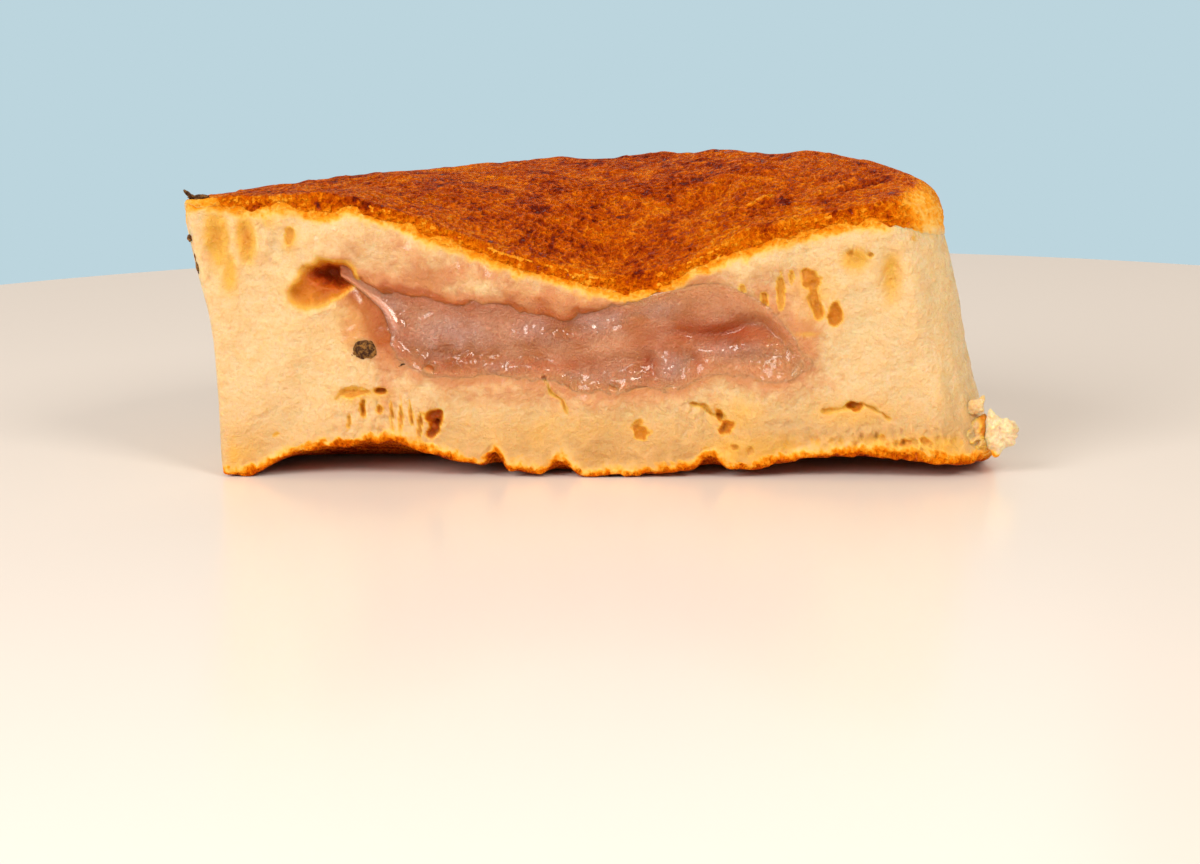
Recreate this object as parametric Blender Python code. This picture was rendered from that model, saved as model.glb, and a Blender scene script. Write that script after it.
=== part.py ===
"""Half of a round peanut pancake, cut straight through and lying on its base.

The crumb is one solid: a half disc whose browned top sags towards the cut, with an arched
bottom edge, tunnels and tears in the cut face, and a torn flap at one end of the cut. The
paste is a second solid, a lens that runs back into the crumb from the cut.

Lengths are in millimetres until MM turns them into metres. X runs along the cut, Y runs from
the cut into the piece, and Z is up from the base.
"""
import math

import bmesh
import bpy
import numpy as np

MM = 0.001

# The piece as a whole. The middle of its box, in the lengths below, becomes the origin.
MIDDLE_X = 2.45
MIDDLE_Y = 19.4
DEPTH = 39.2
TOP_MIDDLE = 29.9
TOP_SLOPE = 0.045
LID_CENTRE = (1.0, 18.0)

# The two ends of the cut, as (height, x): the left end leans out at the top, the right end at
# the base. Behind the cut the round wall bulges past each end. Each corner between the cut and
# the wall is worn round over a share of the outline.
LEFT_END = [(0.0, -37.6), (8.0, -37.7), (17.0, -38.2), (24.0, -39.5), (29.0, -40.3)]
RIGHT_END = [(0.0, 41.4), (6.0, 39.6), (14.0, 38.0), (22.0, 36.9), (30.0, 35.4)]
BULGE_LEFT = 0.9
BULGE_RIGHT = 3.4
BULGE_DEPTH = 12.0
CORNER_WEAR_LEFT = 0.004
CORNER_WEAR_RIGHT = 0.022
CORNER_SPREAD_LEFT = 0.012
CORNER_SPREAD_RIGHT = 0.03

# The top's height along the cut, as (x, height): it sags to a dip right of the middle.
TOP_AT_CUT = [(-40.0, 29.3), (-30.0, 29.7), (-23.0, 29.3), (-15.0, 26.9), (-8.0, 24.2),
              (-1.0, 22.2), (5.5, 20.9), (11.0, 22.7), (17.0, 25.2), (26.0, 27.6), (36.0, 29.6)]
SAG_REACH = 12.5
SAG_POWER = 1.5

# The base's height along the cut, as (x, height): shallow arches between the feet. Small
# notches in its edge, as (x, half width, height), reach less far back.
BASE_AT_CUT = [(-38.0, 0.0), (-34.5, 0.2), (-30.6, 2.1), (-25.0, 3.2), (-20.5, 3.7), (-15.0, 2.2),
               (-10.6, 1.2), (-4.4, 0.4), (3.5, 0.0), (10.0, 0.6), (17.3, 0.9), (25.0, 2.1),
               (31.2, 2.3), (37.0, 1.6), (42.0, 1.2)]
ARCH_REACH = 13.0
NOTCHES = [(-8.6, 1.5, 1.8), (-1.8, 2.2, 1.3), (13.8, 2.4, 1.4)]
NOTCH_REACH = 4.0

# Rounding of the rim, from the sharp left end of the cut to the soft right end.
TOP_ROUND_LEFT = 1.4
TOP_ROUND_RIGHT = 5.2
TOP_ROUND_CUT = 0.9
TOP_ROUND_CORNER = 3.4
BASE_ROUND = 1.6
BASE_ROUND_CUT = 0.5

# Blisters that the top rises in, as (x, y, radius, height).
BLISTERS = [(14.5, 33.0, 5.0, 0.9), (24.5, 27.0, 4.2, 0.8), (32.0, 21.0, 3.6, 0.7),
            (7.0, 36.0, 4.0, 0.6), (-6.0, 34.0, 5.0, 0.5), (17.0, 17.0, 6.0, 0.8),
            (-20.0, 22.0, 8.0, 0.5), (28.0, 11.0, 5.0, 0.7), (1.0, 22.0, 5.5, -0.7),
            (12.5, 12.0, 4.0, -0.9), (20.0, 24.0, 3.5, -0.6), (-12.0, 14.0, 6.0, 0.4),
            (24.0, 26.0, 14.0, 0.5)]

# Slow waves of the cut face and of the round wall.
CUT_WAVE = 0.3
WALL_WAVE = 0.35
WALL_WAVE_COUNT = 5.4

# The mesh of the crumb: points round the outline, and rows up the profile.
ROUND_POINTS = 100
CUT_POINTS = 47
CUT_SHARE = CUT_POINTS / ROUND_POINTS
CORNER_SAMPLES = 9
LID_ROWS = 7
CORNER_ROWS = 3
WALL_ROWS = 12

# The paste: its outline in the cut, as (x, height) along its top and its bottom.
PASTE_LEFT = -24.6
PASTE_RIGHT = 25.6
PASTE_DEPTH = 26.0
PASTE_TOP = [(-24.6, 20.6), (-22.0, 20.6), (-17.0, 19.2), (-11.0, 18.4), (-5.0, 17.3), (-1.0, 16.9),
             (4.0, 17.9), (10.0, 19.3), (15.5, 19.8), (20.0, 17.6), (25.6, 12.6)]
PASTE_BOTTOM = [(-24.6, 17.4), (-22.0, 14.8), (-18.0, 12.2), (-13.0, 10.8), (-4.0, 10.3),
                (3.0, 9.2), (9.5, 9.4), (13.5, 10.8), (21.0, 10.5), (25.6, 11.4)]
PASTE_HEIGHT_BEHIND = 15.5
PASTE_RECESS = 1.1
PASTE_RIDGE = 0.55
PASTE_RIDGE_PITCH = 3.6
PASTE_RINGS = 34
PASTE_SIDES = 24
GAP = 0.3
POCKET_FRONT = -4.0

# Tunnels, pits and tears in the cut face, as (x, height, half width, half height, depth, lean),
# the lean in degrees from upright.
HOLES = [(-36.3, 22.6, 0.75, 3.2, 1.5, 5.0), (-33.5, 24.2, 0.9, 3.0, 1.8, 3.0),
         (-26.4, 20.7, 2.9, 2.5, 5.0, 20.0), (-22.6, 8.9, 2.4, 0.75, 2.4, -10.0),
         (-22.1, 7.5, 0.6, 1.1, 1.6, 0.0), (-14.9, 6.0, 1.1, 1.6, 3.0, 12.0),
         (6.7, 4.6, 1.0, 1.2, 1.6, 0.0), (15.4, 5.6, 1.2, 0.9, 2.0, -35.0),
         (21.2, 20.3, 0.55, 1.5, 2.0, -5.0), (24.3, 19.0, 0.8, 3.1, 2.6, 14.0),
         (26.8, 16.7, 0.8, 1.4, 3.4, 8.0), (29.3, 22.3, 1.2, 1.5, 1.6, 24.0),
         (32.8, 21.6, 1.1, 3.6, 1.1, 0.0), (29.0, 7.4, 1.9, 0.7, 2.6, 8.0),
         (41.0, 4.3, 0.9, 1.3, 2.2, 0.0)]
HOLE_SIDES = 12
HOLE_RINGS = 8

# Lumps of the torn flap at the cut's right end, as (x, y, height, half sizes, turn in degrees).
FLAP = [(41.6, 2.6, 3.2, (3.2, 3.0, 1.5), -6.0), (43.5, 2.0, 4.3, (2.1, 2.0, 1.8), 25.0),
        (42.0, 2.2, 5.6, (1.7, 1.7, 1.7), -15.0), (41.0, 1.4, 6.7, (1.5, 1.2, 1.4), -35.0)]

CRUMB_COLOUR = (0.90, 0.63, 0.30, 1.0)
PASTE_COLOUR = (0.58, 0.26, 0.16, 1.0)


def clear_scene():
    for thing in list(bpy.context.scene.objects):
        bpy.data.objects.remove(thing, do_unlink=True)


def new_collection(name):
    collection = bpy.data.collections.new(name)
    bpy.context.scene.collection.children.link(collection)
    return collection


def new_material(name, colour, roughness):
    material = bpy.data.materials.new(name)
    material.use_nodes = True
    shader = material.node_tree.nodes["Principled BSDF"]
    shader.inputs["Base Color"].default_value = colour
    shader.inputs["Roughness"].default_value = roughness
    shader.inputs["Metallic"].default_value = 0.0
    return material


def curve_value(x, points):
    """Value at x of the smooth curve through the points, cubic between each two of them."""
    places, values = np.array(points, dtype=float).T
    slopes = np.gradient(values, places)
    left = np.clip(np.searchsorted(places, x) - 1, 0, len(places) - 2)
    span = places[left + 1] - places[left]
    t = np.clip((x - places[left]) / span, 0.0, 1.0)
    rise = t * t * (3.0 - 2.0 * t)
    start_pull = span * slopes[left] * t * (1.0 - t) ** 2
    end_pull = span * slopes[left + 1] * t * t * (1.0 - t)
    return values[left] * (1.0 - rise) + values[left + 1] * rise + start_pull - end_pull


def smooth_step(value):
    t = np.clip(value, 0.0, 1.0)
    return t * t * (3.0 - 2.0 * t)


def top_height(x, y):
    """The top: a slightly tilted plane, less a sag that is full at the cut, plus blisters."""
    plane = TOP_MIDDLE + TOP_SLOPE * x
    sag = plane - curve_value(x, TOP_AT_CUT)
    height = plane - sag * np.exp(-(np.maximum(y, 0.0) / SAG_REACH) ** SAG_POWER)
    for middle_x, middle_y, radius, rise in BLISTERS:
        away = ((x - middle_x) ** 2 + (y - middle_y) ** 2) / radius ** 2
        height = height + rise * np.exp(-2.0 * away)
    return height


def base_height(x, y):
    """The base: the arches and notches of the cut edge, which die out into a flat underside."""
    height = curve_value(x, BASE_AT_CUT) * (1.0 - smooth_step(y / ARCH_REACH))
    for middle, half_width, rise in NOTCHES:
        across = 1.0 - smooth_step(np.abs(x - middle) / half_width)
        height = height + rise * across * (1.0 - smooth_step(y / NOTCH_REACH))
    return np.maximum(height, 0.0)


def sharp_outline(share, level):
    """Plan of the piece at a height: the cut from left to right, then the round wall back.

    share runs from 0 to 1 round the outline, and level from 0 at the base to 1 at the top.
    """
    left = curve_value(level * TOP_MIDDLE, LEFT_END)
    right = curve_value(level * TOP_MIDDLE, RIGHT_END)
    along = np.clip(share / CUT_SHARE, 0.0, 1.0)
    angle = math.pi * np.clip((share - CUT_SHARE) / (1.0 - CUT_SHARE), 0.0, 1.0)
    y = DEPTH * np.sin(angle)
    swell = (y / BULGE_DEPTH) * np.exp(1.0 - y / BULGE_DEPTH)
    bulge = np.where(np.cos(angle) > 0.0, BULGE_RIGHT, BULGE_LEFT) * swell * np.cos(angle)
    y = y + WALL_WAVE * np.sin(WALL_WAVE_COUNT * angle + 1.0) * np.sin(angle)
    wall_x = (left + right) / 2.0 + (right - left) / 2.0 * np.cos(angle) + bulge
    on_cut = share <= CUT_SHARE
    return np.where(on_cut, left + (right - left) * along, wall_x), np.where(on_cut, 0.0, y)


def outline(share, level):
    """The same plan with its corners worn: each place is the mean of a stretch of the sharp plan,
    which is long at the right corner and short at the left one."""
    at_right = np.exp(-((share - CUT_SHARE) / CORNER_SPREAD_RIGHT) ** 2)
    at_left = np.exp(-(np.minimum(share, 1.0 - share) / CORNER_SPREAD_LEFT) ** 2)
    stretch = CORNER_WEAR_RIGHT * at_right + CORNER_WEAR_LEFT * at_left
    parts = np.linspace(-1.0, 1.0, CORNER_SAMPLES)
    places = [sharp_outline((share + part * stretch) % 1.0, level) for part in parts]
    x = sum(place[0] for place in places) / CORNER_SAMPLES
    return x, sum(place[1] for place in places) / CORNER_SAMPLES


def profile_rows():
    """Rows from the top's centre over the rim and the wall to the base's centre.

    Each row holds: how far it is pulled to the lid's centre, its inset in top and in base
    roundings, its drop in top roundings, its rise in base roundings, and its level.
    """
    rows = []
    for step in range(LID_ROWS):
        rows.append((1.0 - (step / LID_ROWS) ** 0.8, 1.0, 0.0, 0.0, 0.0, 1.0))
    for step in range(CORNER_ROWS + 1):
        turn = math.pi / 2.0 * step / CORNER_ROWS
        rows.append((0.0, 1.0 - math.sin(turn), 0.0, 1.0 - math.cos(turn), 0.0, 1.0))
    for step in range(1, WALL_ROWS):
        rows.append((0.0, 0.0, 0.0, 1.0, 1.0, 1.0 - step / WALL_ROWS))
    for step in range(CORNER_ROWS + 1):
        turn = math.pi / 2.0 * step / CORNER_ROWS
        rows.append((0.0, 0.0, 1.0 - math.cos(turn), 0.0, 1.0 - math.sin(turn), 0.0))
    for step in range(1, LID_ROWS + 1):
        rows.append(((step / LID_ROWS) ** 1.3, 0.0, 1.0, 0.0, 0.0, 0.0))
    return np.array(rows)


def crumb_points():
    """Places of the crumb's points, by row and by step round the outline."""
    rows = profile_rows()[:, :, None]
    pull, top_inset, base_inset, drop, rise, level = (rows[:, index] for index in range(6))
    share = np.arange(ROUND_POINTS)[None, :] / ROUND_POINTS
    rim_x, rim_y = outline(share, level)
    on_cut = share <= CUT_SHARE
    across = smooth_step((rim_x + 40.0) / 70.0)
    soft = TOP_ROUND_LEFT + (TOP_ROUND_RIGHT - TOP_ROUND_LEFT) * across
    cut_round = TOP_ROUND_CUT + (TOP_ROUND_CORNER - TOP_ROUND_CUT) * smooth_step((rim_x - 27.0) / 9.0)
    past_corner = smooth_step((share - CUT_SHARE) * ROUND_POINTS / 6.0)
    top_round = cut_round + (soft - cut_round) * past_corner
    base_round = np.where(on_cut, BASE_ROUND_CUT, BASE_ROUND)
    to_x = LID_CENTRE[0] - rim_x
    to_y = LID_CENTRE[1] - rim_y
    inward = (top_inset * top_round + base_inset * base_round) / np.hypot(to_x, to_y)
    reach = inward + (1.0 - inward) * pull
    x = rim_x + to_x * reach
    y = rim_y + to_y * reach
    low = base_height(x, y) + rise * base_round
    high = top_height(x, y) - drop * top_round
    z = low * (1.0 - level) + high * level
    waves = CUT_WAVE * (np.sin(0.33 * x + 0.5) * np.cos(0.29 * z) + 0.7 * np.sin(0.7 * x - 0.4 * z))
    step = share * ROUND_POINTS
    inside = smooth_step(step / 4.0) * smooth_step((CUT_POINTS - step) / 4.0)
    y = y + np.where(on_cut, waves * inside, 0.0) * (1.0 - pull)
    return np.stack([x, y, z], axis=-1)


def crumb_mesh():
    """A ball of rings and segments, each of whose points is moved to its place on the crumb."""
    places = crumb_points()
    ring_count = len(places) - 1
    bm = bmesh.new()
    bmesh.ops.create_uvsphere(bm, u_segments=ROUND_POINTS, v_segments=ring_count, radius=1.0)
    for point in bm.verts:
        ring = round(math.acos(max(-1.0, min(1.0, point.co.z))) / math.pi * ring_count)
        step = round(math.atan2(point.co.y, point.co.x) / (2.0 * math.pi) * ROUND_POINTS) % ROUND_POINTS
        point.co = places[ring, step]
    return mesh_from(bm, "crumb")


def paste_points(direction, grow, front):
    """Place of each point of the paste, from its direction on a unit ball.

    The ball's poles are the paste's two ends. Its back half becomes the lens in the crumb, and
    its front half is pressed flat at the cut, with a recess and ridges, or at the front given.
    """
    high, deep, long = -direction[:, 0], direction[:, 1], direction[:, 2]
    middle = (PASTE_LEFT + PASTE_RIGHT) / 2.0
    x = middle + ((PASTE_RIGHT - PASTE_LEFT) / 2.0 + grow) * long
    girth = np.sqrt(np.maximum(1.0 - long ** 2, 1e-9))
    top = curve_value(x, PASTE_TOP)
    bottom = curve_value(x, PASTE_BOTTOM)
    lean_back = np.maximum(deep, 0.0)
    centre = (top + bottom) / 2.0 * (1.0 - lean_back) + PASTE_HEIGHT_BEHIND * lean_back
    closing = np.minimum(girth * 2.2, 1.0)
    half = ((top - bottom) / 2.0 + grow) * closing
    z = centre + half * high / girth
    y = (PASTE_DEPTH + grow) * lean_back
    facing = np.sqrt(np.maximum(-deep, 0.0))
    if front is None:
        ridges = PASTE_RIDGE * np.cos(2.0 * math.pi * (z - 0.12 * x) / PASTE_RIDGE_PITCH)
        y = y + facing * (PASTE_RECESS + ridges)
    else:
        y = y + np.minimum(facing * 4.0, 1.0) * front
    return np.stack([x, y, z], axis=-1)


def paste_mesh(name, grow=0.0, front=None):
    bm = bmesh.new()
    bmesh.ops.create_uvsphere(bm, u_segments=PASTE_SIDES, v_segments=PASTE_RINGS, radius=1.0)
    directions = np.array([point.co[:] for point in bm.verts])
    for point, place in zip(bm.verts, paste_points(directions, grow, front)):
        point.co = place
    return mesh_from(bm, name)


def ball_mesh(name, place, half_sizes, turn):
    """A ball stretched to its half sizes, turned about the depth axis and put in its place."""
    bm = bmesh.new()
    bmesh.ops.create_uvsphere(bm, u_segments=HOLE_SIDES, v_segments=HOLE_RINGS, radius=1.0)
    cosine, sine = math.cos(math.radians(turn)), math.sin(math.radians(turn))
    for point in bm.verts:
        x, y, z = (point.co[axis] * half_sizes[axis] for axis in range(3))
        point.co = (place[0] + x * cosine + z * sine, place[1] + y, place[2] + z * cosine - x * sine)
    return mesh_from(bm, name)


def mesh_from(bm, name):
    """Turn the points to metres from the piece's own origin, and make the mesh."""
    for point in bm.verts:
        point.co = ((point.co.x - MIDDLE_X) * MM, (point.co.y - MIDDLE_Y) * MM, point.co.z * MM)
    mesh = bpy.data.meshes.new(name)
    bm.to_mesh(mesh)
    bm.free()
    return mesh


def add_object(name, mesh, collection, material=None):
    thing = bpy.data.objects.new(name, mesh)
    collection.objects.link(thing)
    if material is not None:
        mesh.materials.append(material)
        mesh.shade_smooth()
    return thing


def add_cutter(name, mesh, collection):
    cutter = add_object(name, mesh, collection)
    cutter.hide_render = True
    cutter.display_type = "WIRE"
    return cutter


def add_boolean(thing, operation, collection):
    boolean = thing.modifiers.new(operation.lower(), "BOOLEAN")
    boolean.operation = operation
    boolean.operand_type = "COLLECTION"
    boolean.collection = collection
    boolean.solver = "EXACT"


def build_crumb(parts, lumps, cutters):
    crumb = add_object("dough", crumb_mesh(), parts, new_material("crumb", CRUMB_COLOUR, 0.7))
    for number, (x, y, z, half_sizes, turn) in enumerate(FLAP, start=1):
        add_cutter(f"flap_{number}", ball_mesh("flap", (x, y, z), half_sizes, turn), lumps)
    add_boolean(crumb, "UNION", lumps)
    add_cutter("pocket", paste_mesh("pocket", GAP, POCKET_FRONT), cutters)
    for number, (x, z, wide, tall, deep, lean) in enumerate(HOLES, start=1):
        add_cutter(f"hole_{number}", ball_mesh("hole", (x, 0.0, z), (wide, deep, tall), lean), cutters)
    add_boolean(crumb, "DIFFERENCE", cutters)


def build_paste(parts):
    add_object("filling", paste_mesh("filling"), parts, new_material("paste", PASTE_COLOUR, 0.35))


def main():
    clear_scene()
    parts = new_collection("peanut_pancake_half")
    lumps = new_collection("flap_lumps")
    cutters = new_collection("cutters")
    build_crumb(parts, lumps, cutters)
    build_paste(parts)


main()
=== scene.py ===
"""The looks of a halved peanut pancake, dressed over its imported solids.

Lengths are millimetres until to_frame() turns them into metres in the solids' frame: X runs
along the cut, Y runs from the cut into the piece, and Z is up from the base.
"""

import bpy
import numpy as np
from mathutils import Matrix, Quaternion, Vector


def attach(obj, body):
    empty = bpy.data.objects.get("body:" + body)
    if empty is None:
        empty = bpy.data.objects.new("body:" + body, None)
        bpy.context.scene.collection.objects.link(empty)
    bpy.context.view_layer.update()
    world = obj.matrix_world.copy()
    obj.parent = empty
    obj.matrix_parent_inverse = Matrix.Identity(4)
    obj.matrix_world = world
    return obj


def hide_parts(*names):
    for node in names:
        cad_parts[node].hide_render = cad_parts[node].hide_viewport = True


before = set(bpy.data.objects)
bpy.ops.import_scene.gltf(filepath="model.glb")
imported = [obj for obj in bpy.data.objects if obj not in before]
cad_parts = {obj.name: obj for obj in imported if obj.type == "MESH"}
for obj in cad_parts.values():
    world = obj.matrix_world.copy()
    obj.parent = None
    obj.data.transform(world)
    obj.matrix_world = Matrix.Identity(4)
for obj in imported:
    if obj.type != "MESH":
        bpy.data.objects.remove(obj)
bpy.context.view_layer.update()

# --------------------------------------------------------------------------------------------
# The crumb: a pale batter baked into a thick round and cut through, so its face shows a soft
# sponge with tunnels, tears and a pocket for the paste. Its base is a thin griddle-brown skin,
# and its wall is pale. It takes the place of the solid dough, whose form it keeps.
# --------------------------------------------------------------------------------------------
MIDDLE_X, MIDDLE_Y = 2.45, 19.4
DEPTH = 39.2
TOP_MIDDLE, TOP_SLOPE = 29.9, 0.045
LID_CENTRE = (1.0, 18.0)
LEFT_END = [(0.0, -37.6), (8.0, -37.7), (17.0, -38.2), (24.0, -39.5), (29.0, -40.3)]
RIGHT_END = [(0.0, 41.4), (6.0, 39.6), (14.0, 38.0), (22.0, 36.9), (30.0, 35.4)]
BULGE_LEFT, BULGE_RIGHT, BULGE_DEPTH = 0.9, 3.4, 12.0
WALL_WAVE, WALL_WAVE_COUNT = 0.35, 5.4

# A place round the outline is a share of its length. The cut ends at the first of these shares,
# and the wall's relief fades in over the second. Then the length in millimetres.
CUT_SHARE, WALL_FADE, OUTLINE_LENGTH = 0.47, 0.02, 210.0

# Heights along the cut, as (x, height): of the top, of the ragged lower edge of its crust, and
# of the arched base. Blisters are (x, y, radius, height), notches (x, half width, height).
TOP_AT_CUT = [
    (-40.0, 29.3), (-30.0, 29.7), (-23.0, 29.3), (-15.0, 26.9), (-8.0, 24.2), (-1.0, 22.2),
    (5.5, 20.9), (11.0, 22.7), (17.0, 25.2), (26.0, 27.6), (36.0, 29.6)]
CRUST_EDGE = [
    (-40.0, 28.7), (-37.5, 28.5), (-35.0, 28.1), (-31.5, 28.3), (-29.3, 28.4), (-27.7, 27.8),
    (-26.2, 27.4), (-24.6, 27.7), (-23.3, 28.2), (-20.5, 27.5), (-17.9, 26.5), (-11.8, 23.9),
    (-7.7, 22.5), (-0.5, 20.5), (5.7, 19.2), (8.3, 19.7), (14.0, 22.3), (21.2, 24.6), (26.4, 25.8),
    (31.4, 26.2), (34.0, 24.8), (37.0, 22.6)]
BASE_AT_CUT = [
    (-38.0, 0.0), (-34.5, 0.2), (-30.6, 2.1), (-25.0, 3.2), (-20.5, 3.7), (-15.0, 2.2),
    (-10.6, 1.2), (-4.4, 0.4), (3.5, 0.0), (10.0, 0.6), (17.3, 0.9), (25.0, 2.1), (31.2, 2.3),
    (37.0, 1.6), (42.0, 1.2)]
SAG_REACH, SAG_POWER = 12.5, 1.5
ARCH_REACH, NOTCH_REACH = 13.0, 4.0
NOTCHES = [(-8.6, 1.5, 1.8), (-1.8, 2.2, 1.3), (13.8, 2.4, 1.4)]
BLISTERS = [
    (14.5, 33.0, 5.0, 0.9), (24.5, 27.0, 4.2, 0.8), (32.0, 21.0, 3.6, 0.7), (7.0, 36.0, 4.0, 0.6),
    (-6.0, 34.0, 5.0, 0.5), (17.0, 17.0, 6.0, 0.8), (-20.0, 22.0, 8.0, 0.5), (28.0, 11.0, 5.0, 0.7),
    (1.0, 22.0, 5.5, -0.7), (12.5, 12.0, 4.0, -0.9), (20.0, 24.0, 3.5, -0.6),
    (-12.0, 14.0, 6.0, 0.4), (24.0, 26.0, 14.0, 0.5)]

# Rounding of the rim, from the sharp left end of the cut to the soft right end. Along the cut
# the crumb's own rim stays tight under the crust, up to its loose right end.
TOP_ROUND_LEFT, TOP_ROUND_RIGHT, TOP_ROUND_CUT, TOP_ROUND_CORNER = 1.4, 6.2, 0.9, 4.2
BASE_ROUND, BASE_ROUND_CUT = 1.6, 0.5
RIM_TIGHT, RIM_LOOSER = 0.3, 5.0

# How the outline's two corners are worn round: over what stretch, how near to the corner, and
# from how many samples. And how near to the right corner the batter is baked paler.
CORNER_SOFT_LEFT, CORNER_SOFT_RIGHT = 0.004, 0.022
CORNER_NEAR_LEFT, CORNER_NEAR_RIGHT = 0.012, 0.03
CORNER_SAMPLES = 9
CORNER_PALE = 0.05

# The pocket in the cut: (x, height) along its upper and its lower edge. The paste fills all but
# its left end.
POCKET_UPPER = [
    (-29.7, 19.2), (-28.5, 21.0), (-26.4, 22.1), (-24.6, 22.0), (-22.9, 21.3), (-20.6, 20.3),
    (-17.0, 19.3), (-12.9, 18.4), (-8.8, 18.3), (-4.6, 17.3), (-1.6, 16.9), (2.1, 17.5),
    (5.7, 18.4), (10.9, 19.6), (16.0, 19.7), (18.1, 18.6), (20.1, 17.3), (21.8, 15.2), (23.6, 12.4)]
POCKET_LOWER = [
    (-29.7, 18.7), (-28.0, 18.5), (-26.0, 18.0), (-24.5, 16.9), (-23.2, 15.7), (-20.2, 13.8),
    (-18.1, 12.2), (-14.0, 10.8), (-9.9, 10.7), (-3.7, 10.4), (0.4, 9.4), (5.5, 9.2), (10.7, 9.5),
    (13.3, 10.9), (18.5, 10.6), (21.6, 10.7), (23.6, 11.7)]
POCKET_LIP, POCKET_PUSH, POCKET_EDGE_LOWER, DELL = 1.6, 4.0, 1.6, 1.5

# The paste's left edge: a sharp wet fold, as (height, x), left of which the crumb lies bare. It
# leans, so a gap measured square to it is less than the level gap.
FOLD_EDGE = [
    (8.0, -18.0), (12.0, -18.0), (14.0, -18.2), (16.0, -18.8), (17.4, -19.5), (18.5, -20.6),
    (19.9, -22.3), (20.9, -23.7), (21.6, -25.0), (23.5, -28.0)]
FOLD_SQUARE = 0.72

# Tunnels and pits, as (x, height, half width, half height, depth, lean in degrees).
HOLLOWS = [
    (-29.5, 25.3, 0.45, 0.9, 0.5, 10.0), (-23.1, 8.9, 1.9, 0.36, 0.6, -8.0),
    (-20.6, 9.1, 0.8, 0.4, 1.6, 0.0), (-22.4, 7.2, 0.42, 0.9, 1.1, 0.0),
    (-20.7, 7.2, 0.42, 0.6, 0.8, 8.0), (-19.4, 6.7, 0.22, 1.5, 0.6, 0.0),
    (-18.4, 6.6, 0.25, 1.7, 0.6, 3.0), (-17.3, 6.9, 0.22, 1.4, 0.6, -4.0),
    (-23.9, 5.9, 0.25, 0.8, 0.4, 6.0), (-16.4, 5.4, 0.28, 1.2, 0.7, 6.0),
    (-14.9, 6.4, 1.0, 0.95, 1.9, 0.0), (-15.1, 5.2, 0.6, 1.1, 1.9, 14.0),
    (6.7, 4.7, 0.95, 0.9, 0.9, 20.0), (6.3, 5.6, 0.4, 0.8, 0.5, 40.0),
    (15.5, 5.5, 1.1, 0.65, 1.3, -35.0), (14.7, 6.5, 0.4, 0.7, 0.8, -20.0),
    (19.5, 18.7, 0.4, 0.8, 0.8, -6.0), (21.1, 19.4, 0.42, 1.9, 0.55, 0.0),
    (24.2, 20.7, 1.0, 1.1, 0.8, 0.0), (24.5, 19.0, 0.6, 2.2, 0.7, -9.0),
    (24.9, 17.4, 0.5, 1.3, 0.7, -6.0), (26.7, 17.0, 0.68, 1.35, 1.05, 6.0),
    (22.2, 21.0, 0.3, 0.8, 0.5, 0.0), (17.2, 19.8, 0.3, 0.5, 0.5, 0.0),
    (30.2, 23.2, 0.35, 0.3, 0.7, 0.0), (28.2, 23.3, 0.35, 0.3, 0.5, 0.0),
    (28.7, 7.6, 0.9, 0.45, 1.3, 6.0), (35.0, 24.8, 0.5, 0.35, 0.4, 0.0),
    (41.0, 4.3, 0.9, 1.2, 1.6, 0.0), (16.3, 3.2, 0.5, 0.4, 0.6, 0.0),
    (18.0, 2.9, 0.4, 0.45, 0.6, 0.0), (33.9, 3.7, 0.7, 0.5, 0.8, 0.0),
    (35.8, 4.0, 0.5, 0.45, 0.7, 0.0), (31.5, 4.2, 0.45, 0.35, 0.5, 0.0),
    (-31.8, 4.4, 0.6, 0.25, 0.3, -30.0), (13.4, 3.0, 0.4, 0.4, 0.5, 0.0)]
HOLLOW_RAGGED, HOLLOW_DEPTH = 0.34, 0.5

# Tears, as (path of (x, height), width, depth): thin cracks where the crumb came apart.
TEARS = [
    ([(-3.3, 10.4), (-2.6, 8.9), (-1.5, 8.2), (-1.1, 6.9)], 0.22, 0.9),
    ([(11.7, 7.8), (13.1, 7.6), (13.9, 6.6), (15.2, 6.3)], 0.22, 1.1),
    ([(25.6, 7.0), (27.4, 7.3), (29.2, 7.9), (31.3, 6.9), (32.2, 6.2)], 0.2, 0.8),
    ([(-25.2, 8.3), (-24.4, 9.1), (-22.4, 9.4)], 0.22, 0.6)]

# Patches where the sponge is rougher, as (x, height, half width, half height, strength).
ROUGH_PATCHES = [
    (-34.0, 24.0, 6.0, 5.0, 1.0), (-20.5, 6.3, 6.0, 3.4, 1.5), (-11.0, 21.5, 13.0, 3.6, 0.6),
    (21.0, 19.5, 6.0, 4.0, 1.0), (14.0, 6.0, 5.0, 3.0, 0.9), (32.0, 3.6, 9.0, 2.0, 2.6),
    (3.0, 7.5, 14.0, 2.0, 0.6), (19.0, 8.5, 6.0, 2.0, 0.5), (-24.0, 12.0, 4.0, 4.0, 0.4)]

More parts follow.
